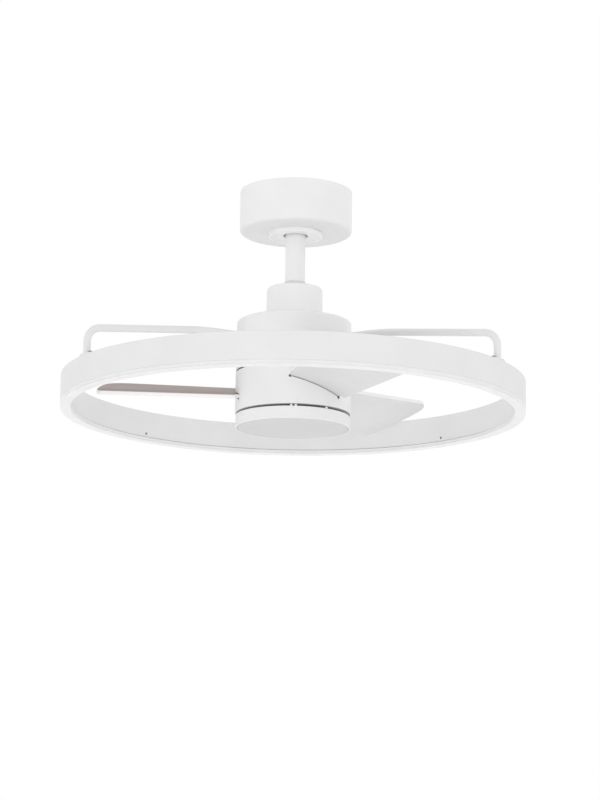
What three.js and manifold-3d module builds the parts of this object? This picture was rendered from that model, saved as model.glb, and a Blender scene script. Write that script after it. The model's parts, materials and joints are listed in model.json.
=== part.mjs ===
// A ceiling fan that turns inside a fixed ring of light.
// Millimetres, +Z up. Z = 0 is the ceiling, and the Z axis is the fan's own axis.
// Three pitched blades turn on a drum between a still housing and a still lamp. The ring of
// light hangs on three bent tubes round them, and everything swings on a ball under the ceiling.

import * as THREE from 'three';
import { mergeVertices } from 'three/addons/utils/BufferGeometryUtils.js';
import Module from 'manifold-3d';

const wasm = await Module();
wasm.setup();

// ---- Driving dimensions -------------------------------------------------------------------

const GAP = 0.3; // between pieces that seat on each other
const RUN_GAP = 1; // between a turning piece and a still one

// Ceiling bracket, its ball socket and the canopy that hides them
const CANOPY_R = 73.3;
const CANOPY_DEPTH = 56;
const CANOPY_WALL = 1.5;
const CANOPY_EDGE_R = 4.5;
const CANOPY_HOLE_R = 24;
const CANOPY_CEILING_GAP = 0.5;
const TRIM_R = 35.4;
const TRIM_DEPTH = 5.6;
const TRIM_WALL = 1.4;
const TRIM_RIM = 3; // width of the rim round the trim ring's dish
const TRIM_DISH = 2;
const PLATE_R = 62;
const PLATE_T = 2.5;
const LEG_X = 34;
const LEG_WIDTH = 26;
const FOOT_PLATE_R = 41;
const SLOT_X = 46;
const SLOT_LENGTH = 12;
const SLOT_WIDTH = 5.4;
const WIRE_HOLE_Y = 23;
const WIRE_HOLE_R = 6.5;
const BALL_R = 24;
const BALL_DROP = 30; // from the ceiling to the ball's centre
const BALL_PIN_UP = 4; // cross pin above the ball's centre
const BALL_TOP_CUT = 0.42; // heights at which the ball is cut off, as parts of its radius
const BALL_BOTTOM_CUT = 0.79;
const ROD_IN_BALL = 0.65; // how far the rod stands up in the ball, as a part of its radius
const SEAT_T = 3; // nylon cup under the ball
const SEAT_TOP_DROP = 4; // the cup's rims, below the ball's centre
const SEAT_BOTTOM_DROP = 16;
const SOCKET_T = 2.6;
const SOCKET_LIP = 2; // of the socket, under the cup
const CANOPY_SCREW_R = 1.7;
const CANOPY_SCREW_HEAD_R = 4;
const CANOPY_SCREW_CIRCLE_R = 30;
const RECEIVER = { length: 56, width: 24, height: 18, y: 46 };
const TERMINAL = { length: 32, width: 14, height: 10, y: 42 };

// Downrod and the yoke that joins it to the motor shaft
const ROD_R = 13;
const ROD_WALL = 1.6;
const ROD_EXPOSED = 68.4;
const ROD_SWING = 3.2; // from the rod to the trim ring's hole
const PIN_R = 3;
const COVER_TOP_R = 36;
const COVER_BOTTOM_R = 37;
const COVER_HEIGHT = 45.5;
const COVER_EDGE_R = 4;
const COVER_WALL = 1.5;
const YOKE_R = 21;
const YOKE_FLANGE_R = 30;
const YOKE_FLANGE_T = 4;
const YOKE_WEB_T = 4;
const YOKE_TOP_GAP = 7;
const SHAFT_GRIP = 9;
const SET_SCREW_R = 2.8;
const COTTER_WIRE_R = 0.7;

// Still housing above the blades
const HOUSING_R = 74.3;
const HOUSING_HEIGHT = 66.5;
const HOUSING_WALL = 1.8;
const HOUSING_EDGE_R = 3.5;
const BASE_T = 2;
const BASE_INSET = 2;
const BOARD_R = 58;
const BOARD_T = 1.6;
const BOARD_HEIGHT = 12; // above the base
const BOARD_HOLE_R = 17;
const CAPACITOR_R = 5;
const BOARD_CAPACITORS = [[0.52, 0.38], [0.72, 0.24], [-0.41, -0.52]]; // places, in board radii
// Places in board radii, length and width in mm, height as a part of the room above the board
const BOARD_BLOCKS = [
  [-0.59, 0.31, 20, 16, 0.9], [0, 0.66, 24, 10, 0.6], [0.52, -0.41, 14, 22, 0.7], [-0.03, -0.69, 22, 8, 0.45],
];

// Bent tubes that carry the ring
const ARM_COUNT = 3;
const ARM_AZIMUTH = 90;
const ARM_R = 5;
const ARM_BORE_R = 3.8;
const ARM_BELOW_HOUSING_TOP = 26.6;
const ARM_START_R = 22;
const ARM_KNEE_R = 133; // where the tube starts to fall
const ARM_KNEE_BEND_R = 350;
const ARM_FALL = 6.25; // degrees below level, outside the knee
const ARM_BEND_R = 19;
const ARM_PLATE_R = 60;
const ARM_PLATE_T = 3;
const ARM_CLAMP_T = 2;
const ARM_BOSS_R = 14;
const ARM_BOSS_BELOW = 6;
const CLAMP_BOLT_INSET = 20; // from the plates' edge
const CLAMP_BOLT_R = 2;
const FOOT_LENGTH = 18;
const FOOT_WIDTH = 11.6;
const FOOT_T = 2;

// Ring of light
const RING_R = 300;
const RING_WIDTH = 12;
const RING_HEIGHT = 35.3;
const RING_WALL = 1.6;
const RING_BELOW_HOUSING_TOP = 79.7;
const LED_STRIP_WIDTH = 6;
const LED_STRIP_T = 1.2;
const DIFFUSER_DROP = 6.06; // how far the opal strip stands below the metal
const DIFFUSER_CLIP = 7;
const RING_SCREW_R = 1.4;
const RING_SCREW_UP = 4.5; // from the metal's lower edge
const RING_SCREW_AZIMUTHS = [46, 135, 226, 315];

// Turning drum
const HUB_R = 74.8;
const HUB_HEIGHT = 53.5;
const HUB_TOP_GAP = 2.5;
const HUB_WALL = 2;
const HUB_LID_INSET = 1;
const HUB_HOLE_R = 13;

// Motor, with its magnets outside and its coils on the shaft
const SHAFT_R = 8.5;
const SHAFT_BORE_R = 5;
const SHAFT_SHOULDER_R = 10.8;
const BEARING_R = 17.5;
const BEARING_WIDTH = 10;
const BEARING_RACE_T = 2.2;
const BALL_COUNT = 6;
const BEARING_BOSS_T = 3.2;
const TOOTH_COUNT = 9;
const TOOTH_WIDTH = 8;
const STATOR_R = 49.4;
const STATOR_YOKE_R = 20;
const SHOE_T = 3.2;
const COIL_END = 2.4;
const POLE_COUNT = 12;
const MAGNET_T = 2.8;
const CAN_WALL = 3;
const CAN_FLOOR_T = 2;

// Blades
const BLADE_COUNT = 3;
const BLADE_AZIMUTH = -57; // of the first blade's own axis
const BLADE_PITCH = 17.7;
const BLADE_T = 5;
const BLADE_SWEEP_R = 253.5;
const BLADE_BELOW_HUB_TOP = 27.7;
const BLADE_TRAIL = { root: 33, tip: 18.05 }; // edge beside the axis, at the two stations
const BLADE_LEAD = { root: -52.1, tip: -91.6 };
const BLADE_STATIONS = { root: 75, tip: 250 };
const BLADE_TRAIL_CORNER_R = 8;
const BLADE_LEAD_CORNER_R = 24;
const BLADE_SHOULDER_GAP = 4;
const BLADE_EDGE = 0.8;
const TONGUE_LEAD = -43.5;
const TONGUE_TRAIL = 25.5;
const SLOT_SIDE_GAP = 0.6;
const SLOT_FACE_GAP = 0.8;
const SLOT_CORNER_HOLE_R = 1.8; // drilled first, so the slot's lower corners do not tear
const CLAMP_T = 3;
const CLAMP_FLANGE_T = 2;
const CLAMP_FLANGE_DOWN = 8;
const CLAMP_FLANGE_UP = 6;
const CLAMP_INSET = 3.5;

// Lamp under the drum
const LAMP_R = 73.9;
const LAMP_GAP = 3;
const LAMP_HEIGHT = 15.2;
const LAMP_WALL = 1.6;
const LENS_T = 2;
const LENS_RECESS = 0.6;
const LENS_SKIRT = 8;
const LED_BOARD_R = 62;
const LED_COUNT = 9;
const NUT_R = 13;
const NUT_T = 6;

// Facets round a full turn
const RING_SIDES = 44;
const SHELL_SIDES = 24;
const CAN_SIDES = 24;
const BALL_SIDES = 16;
const PART_SIDES = 16;
const SMALL_SIDES = 12;
const SHAFT_SIDES = 12;
const TINY_SIDES = 8;
const ARM_SIDES = 10;

// ---- Heights and radii that follow --------------------------------------------------------

const canopyBottomZ = -CANOPY_DEPTH;
const trimTopZ = canopyBottomZ - GAP;
const trimBottomZ = canopyBottomZ - TRIM_DEPTH;
const ballZ = -BALL_DROP;
const coverTopZ = trimBottomZ - ROD_EXPOSED;
const housingTopZ = coverTopZ - COVER_HEIGHT;
const housingBottomZ = housingTopZ - HOUSING_HEIGHT;
const hubTopZ = housingBottomZ - HUB_TOP_GAP;
const hubBottomZ = hubTopZ - HUB_HEIGHT;
const lampTopZ = hubBottomZ - LAMP_GAP;
const lampBottomZ = lampTopZ - LAMP_HEIGHT;
const ringTopZ = housingTopZ - RING_BELOW_HOUSING_TOP;
const ringBottomZ = ringTopZ - RING_HEIGHT;
const armZ = housingTopZ - ARM_BELOW_HOUSING_TOP;

const yokeBottomZ = housingTopZ + GAP;
const yokeTopZ = coverTopZ - YOKE_TOP_GAP;
const shaftTopZ = yokeBottomZ + SHAFT_GRIP;
const yokeWebTopZ = shaftTopZ + GAP + YOKE_WEB_T;
const rodBottomZ = yokeWebTopZ + GAP;
const rodTopZ = ballZ + BALL_R * ROD_IN_BALL;
const ballPinZ = ballZ + BALL_PIN_UP;
const clevisZ = (yokeTopZ + rodBottomZ) / 2 + 3;
const setScrewZ = clevisZ - PIN_R - SET_SCREW_R - 2;

const armPlateTopZ = armZ - ARM_R - GAP;
const armPlateBottomZ = armPlateTopZ - ARM_PLATE_T;
const armBossBottomZ = armPlateBottomZ - ARM_BOSS_BELOW;
const armClampBottomZ = armZ + ARM_R + GAP;
const clampBoltCircleR = ARM_PLATE_R - CLAMP_BOLT_INSET;
const baseBottomZ = housingBottomZ + BASE_INSET;
const baseTopZ = baseBottomZ + BASE_T;
const boardBottomZ = baseTopZ + BOARD_HEIGHT;

const lidTopZ = hubTopZ - HUB_LID_INSET;
const lidBottomZ = lidTopZ - HUB_WALL;
const upperBearingTopZ = lidBottomZ - GAP;
const upperBearingBottomZ = upperBearingTopZ - BEARING_WIDTH;
const hubFloorTopZ = hubBottomZ + HUB_WALL;
const lowerBearingBottomZ = hubFloorTopZ + GAP;
const lowerBearingTopZ = lowerBearingBottomZ + BEARING_WIDTH;
const canFloorBottomZ = lowerBearingTopZ + GAP;
const canFloorTopZ = canFloorBottomZ + CAN_FLOOR_T;
const coilTopZ = upperBearingBottomZ - RUN_GAP;
const coilBottomZ = canFloorTopZ + RUN_GAP;
const coreTopZ = coilTopZ - COIL_END - GAP;
const coreBottomZ = coilBottomZ + COIL_END + GAP;
const magnetInnerR = STATOR_R + RUN_GAP;
const canInnerR = magnetInnerR + MAGNET_T + GAP;
const canR = canInnerR + CAN_WALL;
const hubInnerR = HUB_R - HUB_WALL;
const bearingBossR = BEARING_R + GAP;
const bladeZ = hubTopZ - BLADE_BELOW_HUB_TOP;
const tongueEndR = canR + GAP + CLAMP_FLANGE_T + 2 * RUN_GAP;
const ringMidR = RING_R - RING_WIDTH / 2;
const ringInnerR = RING_R - RING_WIDTH;

const rad = THREE.MathUtils.degToRad;

// ---- Shape helpers ------------------------------------------------------------------------

// The points of a closed outline. A corner is [x, y], or [x, y, radius, steps] to round it.
function outline(corners) {
  return corners.flatMap(([x, y, wanted = 0, steps = 3], index) => {
    const corner = new THREE.Vector2(x, y);
    if (wanted <= 0) return [corner];
    const before = new THREE.Vector2(...corners.at(index - 1).slice(0, 2)).sub(corner);
    const after = new THREE.Vector2(...corners[(index + 1) % corners.length].slice(0, 2)).sub(corner);
    const room = 0.48 * Math.min(before.length(), after.length());
    before.normalize();
    after.normalize();
    const half = Math.acos(THREE.MathUtils.clamp(before.dot(after), -1, 1)) / 2;
    const radius = Math.min(wanted, room * Math.tan(half));
    const between = before.clone().add(after).normalize();
    const centre = corner.clone().addScaledVector(between, radius / Math.sin(half));
    const start = corner.clone().addScaledVector(before, radius / Math.tan(half));
    const turn = (before.cross(after) > 0 ? -1 : 1) * (Math.PI - 2 * half);
    const step = (_, k) => start.clone().rotateAround(centre, (turn * k) / steps);
    return Array.from({ length: steps + 1 }, step);
  });
}

// Points on a sphere's outline, between two heights above its centre.
function sphereArc(radius, centreZ, fromHeight, toHeight, steps) {
  const from = Math.asin(fromHeight / radius);
  const to = Math.asin(toHeight / radius);
  return Array.from({ length: steps + 1 }, (_, k) => {
    const angle = from + ((to - from) * k) / steps;
    return [radius * Math.cos(angle), centreZ + radius * Math.sin(angle)];
  });
}

// One closed, outward-facing mesh from a geometry: shared vertices merged, empty faces dropped.
function closed(geometry) {
  const bare = geometry.clone();
  for (const name of Object.keys(bare.attributes)) if (name !== 'position') bare.deleteAttribute(name);
  const merged = mergeVertices(bare, 1e-4);
  const position = merged.attributes.position;
  const faces = [];
  let volume = 0;
  const [a, b, c] = [new THREE.Vector3(), new THREE.Vector3(), new THREE.Vector3()];
  for (let i = 0; i < merged.index.count; i += 3) {
    const ids = [0, 1, 2].map((k) => merged.index.getX(i + k));
    if (new Set(ids).size < 3) continue;
    [a, b, c].forEach((v, k) => v.fromBufferAttribute(position, ids[k]));
    volume += a.dot(b.clone().cross(c));
    faces.push(ids);
  }
  const ordered = volume < 0 ? faces.map(([i, j, k]) => [i, k, j]) : faces;
  const result = new THREE.BufferGeometry();
  result.setAttribute('position', new THREE.BufferAttribute(new Float32Array(position.array), 3));
  result.setIndex(ordered.flat());
  return result;
}

// A profile in radius and height turned round the Z axis.
function revolve(corners, sides) {
  const points = outline(corners);
  const onAxis = points[0].x === 0 && points.at(-1).x === 0;
  const lathe = new THREE.LatheGeometry(onAxis ? points : [...points, points[0].clone()], sides);
  return closed(lathe.rotateX(Math.PI / 2));
}

const circle = (radius, sides, x = 0, y = 0) => Array.from({ length: sides }, (_, k) => {
  const angle = (2 * Math.PI * k) / sides;
  return [x + radius * Math.cos(angle), y + radius * Math.sin(angle)];
});

// A flat outline raised from one height to another, with holes given as outlines.
function slab(corners, bottomZ, topZ, holes = [], edge = 0) {
  const shape = new THREE.Shape(outline(corners));
  shape.holes = holes.map((hole) => new THREE.Path(outline(hole)));
  const options = edge > 0
    ? { bevelEnabled: true, bevelThickness: edge, bevelSize: edge, bevelOffset: -edge, bevelSegments: 1 }
    : { bevelEnabled: false };
  const raised = new THREE.ExtrudeGeometry(shape, { depth: topZ - bottomZ - 2 * edge, ...options });
  return closed(raised.translate(0, 0, bottomZ + edge));
}

const box = (x0, x1, y0, y1, z0, z1) => closed(
  new THREE.BoxGeometry(x1 - x0, y1 - y0, z1 - z0).translate((x0 + x1) / 2, (y0 + y1) / 2, (z0 + z1) / 2),
);

// A round bar along the Z axis.
const bar = (radius, z0, z1, sides) => revolve([[0, z0], [radius, z0], [radius, z1], [0, z1]], sides);

const rounded = (length, width, radius, x = 0, y = 0, steps = 1) => [[1, 1], [-1, 1], [-1, -1], [1, -1]].map(
  ([sx, sy]) => [x + (sx * length) / 2, y + (sy * width) / 2, radius, steps],
);

// Moves: each returns a turned or shifted copy.
const shifted = (geometry, x, y, z) => geometry.clone().translate(x, y, z);
const turned = (geometry, degrees) => geometry.clone().rotateZ(rad(degrees));
const alongX = (geometry) => geometry.clone().rotateY(Math.PI / 2);
const alongY = (geometry) => geometry.clone().rotateX(-Math.PI / 2);

// Solids joined, cut and intersected.
function solid(geometry) {
  const mesh = closed(geometry);
  return new wasm.Manifold(new wasm.Mesh({
    numProp: 3,
    vertProperties: new Float32Array(mesh.attributes.position.array),
    triVerts: new Uint32Array(mesh.index.array),
  }));
}

function fromSolid(result) {
  const { vertProperties, triVerts, numProp } = result.getMesh();
  const geometry = new THREE.BufferGeometry();
  const points = Array.from({ length: vertProperties.length / numProp }, (_, i) => [
    ...vertProperties.subarray(i * numProp, i * numProp + 3),
  ]);
  geometry.setAttribute('position', new THREE.BufferAttribute(new Float32Array(points.flat()), 3));
  geometry.setIndex(Array.from(triVerts));
  return closed(geometry);
}

const join = (...parts) => fromSolid(parts.map(solid).reduce((whole, part) => whole.add(part)));
const cut = (body, ...tools) => fromSolid(
  tools.map(solid).reduce((left, tool) => left.subtract(tool), solid(body)),
);
const common = (body, other) => fromSolid(solid(body).intersect(solid(other)));
const around = (count, make, start = 0) => Array.from(
  { length: count }, (_, k) => make(start + (360 * k) / count, k),
);

// A route of straight runs joined by round bends, stepped only where it bends.
class BentRoute extends THREE.Curve {
  constructor(corners, bends, bendSteps) {
    super();
    this.stations = [];
    corners.forEach((corner, index) => {
      const previous = corners[index - 1];
      const next = corners[index + 1];
      if (!previous || !next) {
        const along = (next ?? corner).clone().sub(previous ?? corner).normalize();
        this.stations.push({ point: corner.clone(), tangent: along });
        return;
      }
      const into = corner.clone().sub(previous).normalize();
      const out = next.clone().sub(corner).normalize();
      const angle = into.angleTo(out);
      const radius = bends[index - 1];
      const centre = corner.clone().addScaledVector(
        out.clone().sub(into).normalize(),
        radius / Math.cos(angle / 2),
      );
      const axis = into.clone().cross(out).normalize();
      const start = corner.clone().addScaledVector(into, -radius * Math.tan(angle / 2)).sub(centre);
      for (let k = 0; k <= bendSteps[index - 1]; k += 1) {
        const part = (angle * k) / bendSteps[index - 1];
        this.stations.push({
          point: start.clone().applyAxisAngle(axis, part).add(centre),
          tangent: into.clone().applyAxisAngle(axis, part),
        });
      }
    });
  }

  get steps() {
    return this.stations.length - 1;
  }

  at(t, key) {
    const place = THREE.MathUtils.clamp(t, 0, 1) * this.steps;
    const index = Math.min(Math.floor(place), this.steps - 1);
    return this.stations[index][key].clone().lerp(this.stations[index + 1][key], place - index);
  }

  getPoint(t) {
    return this.at(t, 'point');
  }

  getPointAt(t) {
    return this.at(t, 'point');
  }

  getTangent(t) {
    return this.at(t, 'tangent').normalize();
  }

  getTangentAt(t) {
    return this.getTangent(t);
  }
}

function tube(route, radius, sides, boreRadius = 0, boreSides = 0) {
  const section = new THREE.Shape(outline(circle(radius, sides)));
  if (boreRadius > 0) section.holes = [new THREE.Path(outline(circle(boreRadius, boreSides)))];
  return closed(new THREE.ExtrudeGeometry(section, {
    steps: route.steps, extrudePath: route, bevelEnabled: false,
  }));
}

// Screws stand with the head below z = 0 and the shank above it.
function panScrew(headR, headT, shankR, length, sides = TINY_SIDES) {
  return revolve([
    [0, -headT], [headR * 0.6, -headT], [headR, -headT * 0.4], [headR, 0],
    [shankR, 0], [shankR, length - shankR * 0.4], [shankR * 0.6, length], [0, length],
  ], sides);
}

function hexScrew(headR, headT, shankR, length) {
  return join(slab(circle(headR, 6), -headT, 0), bar(shankR, -headT / 2, length, TINY_SIDES));
}

// ---- Under the ceiling --------------------------------------------------------------------

const socketR = BALL_R + GAP + SEAT_T + GAP;
const bracketFootBottomZ = canopyBottomZ + CANOPY_WALL + GAP;
const bracketFootTopZ = bracketFootBottomZ + PLATE_T;

function ceilingBracket() {
  const neckDrop = SEAT_BOTTOM_DROP + SOCKET_LIP;
  const neckR = Math.sqrt(socketR ** 2 - neckDrop ** 2);
  const inner = sphereArc(socketR, ballZ, -SEAT_TOP_DROP, -neckDrop, 3);
  const outer = sphereArc(socketR + SOCKET_T, ballZ, -SEAT_BOTTOM_DROP, -SEAT_TOP_DROP, 2);
  const socket = revolve([
    ...inner, [neckR, bracketFootBottomZ], [FOOT_PLATE_R, bracketFootBottomZ],
    [FOOT_PLATE_R, bracketFootTopZ], [neckR + SOCKET_T, bracketFootTopZ], ...outer,
  ], BALL_SIDES);
  const slots = [-1, 1].map((side) => (
    rounded(SLOT_LENGTH, SLOT_WIDTH, SLOT_WIDTH / 2.1, side * SLOT_X, 0, 2)
  ));
  const top = slab(circle(PLATE_R, CAN_SIDES), -PLATE_T, 0, [
    ...slots, circle(WIRE_HOLE_R, TINY_SIDES, 0, WIRE_HOLE_Y),
  ]);
  const leg = (x) => box(x, x + PLATE_T, -LEG_WIDTH / 2, LEG_WIDTH / 2, bracketFootBottomZ, -PLATE_T / 2);
  const legWindow = alongX(bar(WIRE_HOLE_R, -LEG_X * 2, LEG_X * 2, TINY_SIDES))
    .translate(0, 0, ballZ + WIRE_HOLE_R);
  const screwHoles = [-1, 1].map((side) => shifted(
    bar(CANOPY_SCREW_R + GAP, bracketFootBottomZ - 1, bracketFootTopZ + 1, TINY_SIDES),
    0, side * CANOPY_SCREW_CIRCLE_R, 0,
  ));
  const whole = join(top, socket, leg(LEG_X), leg(-LEG_X - PLATE_T));
  const windowAt = (x) => common(
    legWindow, box(x - 2, x + PLATE_T + 2, -LEG_WIDTH, LEG_WIDTH, ballZ, -PLATE_T),
  );
  return cut(whole, windowAt(LEG_X), windowAt(-LEG_X - PLATE_T), ...screwHoles);
}

function canopyShell() {
  const rimZ = -CANOPY_CEILING_GAP;
  const innerR = CANOPY_R - CANOPY_WALL;
  const shell = revolve([
    [CANOPY_R, rimZ], [CANOPY_R, canopyBottomZ, CANOPY_EDGE_R, 3], [CANOPY_HOLE_R, canopyBottomZ],
    [CANOPY_HOLE_R, canopyBottomZ + CANOPY_WALL],
    [innerR, canopyBottomZ + CANOPY_WALL, CANOPY_EDGE_R - CANOPY_WALL, 1], [innerR, rimZ],
  ], SHELL_SIDES);
  return cut(shell, ...[-1, 1].map((side) => shifted(
    bar(CANOPY_SCREW_R + GAP, canopyBottomZ - 1, canopyBottomZ + CANOPY_WALL + 1, TINY_SIDES),
    0, side * CANOPY_SCREW_CIRCLE_R, 0,
  )));
}

const trimHoleR = ROD_R + ROD_SWING;

function canopyTrimRing() {
  const dishZ = trimBottomZ + TRIM_DISH;
  return revolve([
    [TRIM_R, trimTopZ], [TRIM_R, trimBottomZ, 1.5, 1], [TRIM_R - TRIM_RIM, trimBottomZ],
    [TRIM_R - TRIM_RIM - TRIM_DISH / 2, dishZ], [trimHoleR, dishZ],
    [trimHoleR, trimTopZ - TRIM_WALL], [trimHoleR + TRIM_WALL, trimTopZ - TRIM_WALL],
    [trimHoleR + TRIM_WALL, dishZ + TRIM_WALL], [TRIM_R - TRIM_WALL, dishZ + TRIM_WALL],
    [TRIM_R - TRIM_WALL, trimTopZ],
  ], CAN_SIDES);
}

const canopyScrew = () => panScrew(
  CANOPY_SCREW_HEAD_R, TRIM_DEPTH - TRIM_DISH - TRIM_WALL - 2 * GAP, CANOPY_SCREW_R,
  CANOPY_WALL + PLATE_T + 2.5,
);

function receiverBox() {
  const { length, width, height, y } = RECEIVER;
  const topZ = -PLATE_T - GAP;
  const body = slab(rounded(length, width, 3, 0, y), topZ - height, topZ, [], 0.8);
  const wireMouth = shifted(alongX(bar(2.5, -1, 4, TINY_SIDES)), -length / 2, y, topZ - height / 2);
  return cut(body, wireMouth);
}

function terminalBlock() {
  const { length, width, height, y } = TERMINAL;
  const topZ = -PLATE_T - GAP;
  const body = slab(rounded(length, width, 1, 0, -y), topZ - height, topZ);
  const pitch = length / 3;
  const wells = [-1, 0, 1].map((k) => shifted(
    bar(2.2, topZ - height - 1, topZ - height / 2, TINY_SIDES), k * pitch, -y + width / 5, 0,
  ));
  const ports = [-1, 0, 1].map((k) => box(
    k * pitch - 2, k * pitch + 2, -y - width, -y - width / 5, topZ - height * 0.7, topZ - height * 0.3,
  ));
  return cut(body, ...wells, ...ports);
}

// ---- Ball, rod and yoke -------------------------------------------------------------------

function ballSeat() {
  return revolve([
    ...sphereArc(BALL_R + GAP, ballZ, -SEAT_TOP_DROP, -SEAT_BOTTOM_DROP, 3),
    ...sphereArc(BALL_R + GAP + SEAT_T, ballZ, -SEAT_BOTTOM_DROP, -SEAT_TOP_DROP, 3),
  ], BALL_SIDES);
}

const rodPinHole = (z, reach) => alongY(bar(PIN_R + GAP, -reach, reach, TINY_SIDES)).translate(0, 0, z);

function hangerBall() {
  const top = BALL_R * BALL_TOP_CUT;
  const bottom = -BALL_R * BALL_BOTTOM_CUT;
  const ball = revolve([
    [ROD_R + GAP, ballZ + bottom], ...sphereArc(BALL_R, ballZ, bottom, top, 6), [ROD_R + GAP, ballZ + top],
  ], BALL_SIDES);
  return cut(ball, rodPinHole(ballPinZ, BALL_R * 2));
}

function roundPin(length) {
  const half = length / 2;
  return alongY(revolve([
    [0, -half], [PIN_R - 0.6, -half], [PIN_R, -half + 0.6],
    [PIN_R, half - 0.6], [PIN_R - 0.6, half], [0, half],
  ], TINY_SIDES));
}

const ballCrossPin = () => roundPin(BALL_R * 1.7).translate(0, 0, ballPinZ);

function downrod() {
  const innerR = ROD_R - ROD_WALL;
  const rod = revolve([
    [innerR, rodBottomZ], [ROD_R, rodBottomZ], [ROD_R, rodTopZ], [innerR, rodTopZ],
  ], PART_SIDES);
  return cut(rod, rodPinHole(ballPinZ, ROD_R * 2), rodPinHole(clevisZ, ROD_R * 2));
}

function shaftYoke() {
  const rodBore = ROD_R + GAP;
  const shaftBore = SHAFT_R + GAP;
  const flangeTopZ = yokeBottomZ + YOKE_FLANGE_T;
  const body = revolve([
    [rodBore, yokeTopZ], [YOKE_R, yokeTopZ, 1.5, 1], [YOKE_R, flangeTopZ],
    [YOKE_FLANGE_R, flangeTopZ], [YOKE_FLANGE_R, yokeBottomZ], [shaftBore, yokeBottomZ],
    [shaftBore, shaftTopZ + GAP], [SHAFT_BORE_R, shaftTopZ + GAP], [SHAFT_BORE_R, yokeWebTopZ],
    [rodBore, yokeWebTopZ],
  ], PART_SIDES);
  const screwHole = alongX(bar(SET_SCREW_R + GAP, -YOKE_R * 2, YOKE_R * 2, TINY_SIDES))
    .translate(0, 0, setScrewZ);
  return cut(body, rodPinHole(clevisZ, YOKE_R * 2), screwHole);
}

const clevisTipY = YOKE_R + 7;
const cotterY = YOKE_R + 4;

function clevisPin() {
  const headStart = -YOKE_R - GAP - 2.5;
  const pin = alongY(revolve([
    [0, headStart], [PIN_R + 1.6, headStart, 0.6, 1],
    [PIN_R + 1.6, headStart + 2.5], [PIN_R, headStart + 2.5],
    [PIN_R, clevisTipY - 0.8], [PIN_R - 0.8, clevisTipY], [0, clevisTipY],
  ], TINY_SIDES)).translate(0, 0, clevisZ);
  return cut(pin, shifted(bar(COTTER_WIRE_R + GAP, clevisZ - 8, clevisZ + 8, TINY_SIDES), 0, cotterY, 0));
}

function cotterPin() {
  const bowY = cotterY + PIN_R + COTTER_WIRE_R + GAP + 1;
  const corner = (y, z) => new THREE.Vector3(0, y, clevisZ + z);
  const route = new BentRoute(
    [corner(cotterY, 9), corner(cotterY, -9), corner(bowY, -9), corner(bowY, 5)], [2, 2], [2, 2],
  );
  return tube(route, COTTER_WIRE_R, 6);
}

function setScrew(side) {
  const tipR = ROD_R + GAP;
  const screw = alongX(hexScrew(4.5, 4, SET_SCREW_R, YOKE_R + GAP - tipR))
    .translate(-YOKE_R - GAP, 0, setScrewZ);
  return turned(screw, side > 0 ? 180 : 0);
}

function couplingCover() {
  const bottomZ = housingTopZ + GAP;
  const holeR = ROD_R + 2 * GAP;
  const topWallZ = coverTopZ - COVER_WALL;
  return revolve([
    [holeR, coverTopZ], [COVER_TOP_R, coverTopZ, COVER_EDGE_R, 2], [COVER_BOTTOM_R, bottomZ],
    [COVER_BOTTOM_R - COVER_WALL, bottomZ],
    [COVER_TOP_R - COVER_WALL, topWallZ, COVER_EDGE_R - COVER_WALL, 1],
    [holeR, topWallZ],
  ], CAN_SIDES);
}

function motorShaft() {
  const endZ = lampTopZ - LAMP_WALL - GAP - NUT_T - 1;
  return revolve([
    [SHAFT_BORE_R, shaftTopZ], [SHAFT_R, shaftTopZ],
    [SHAFT_R, baseBottomZ - GAP], [SHAFT_SHOULDER_R, baseBottomZ - GAP],
    [SHAFT_SHOULDER_R, upperBearingTopZ + GAP], [SHAFT_R, upperBearingTopZ + GAP],
    [SHAFT_R, lowerBearingBottomZ - GAP], [SHAFT_SHOULDER_R, lowerBearingBottomZ - GAP],
    [SHAFT_SHOULDER_R, lampTopZ + GAP], [SHAFT_R, lampTopZ + GAP],
    [SHAFT_R, endZ], [SHAFT_BORE_R, endZ],
  ], SHAFT_SIDES);
}

// ---- Still housing ------------------------------------------------------------------------

function upperHousing() {
  const innerR = HOUSING_R - HOUSING_WALL;
  const holeR = SHAFT_R + 2 * GAP;
  const shell = revolve([
    [holeR, housingTopZ], [HOUSING_R, housingTopZ, HOUSING_EDGE_R, 3], [HOUSING_R, housingBottomZ],
    [innerR, housingBottomZ], [innerR, housingTopZ - HOUSING_WALL, HOUSING_EDGE_R - HOUSING_WALL, 1],
    [holeR, housingTopZ - HOUSING_WALL],
  ], SHELL_SIDES);
  const armHole = alongX(bar(ARM_R + GAP, innerR - 6, HOUSING_R + 6, ARM_SIDES)).translate(0, 0, armZ);
  return cut(shell, ...around(ARM_COUNT, (angle) => turned(armHole, angle), ARM_AZIMUTH));
}

const boltHoles = (z0, z1) => around(ARM_COUNT, (angle) => turned(
  shifted(bar(CLAMP_BOLT_R + GAP, z0 - 1, z1 + 1, TINY_SIDES), clampBoltCircleR, 0, 0), angle,
), ARM_AZIMUTH + 180 / ARM_COUNT);

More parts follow.
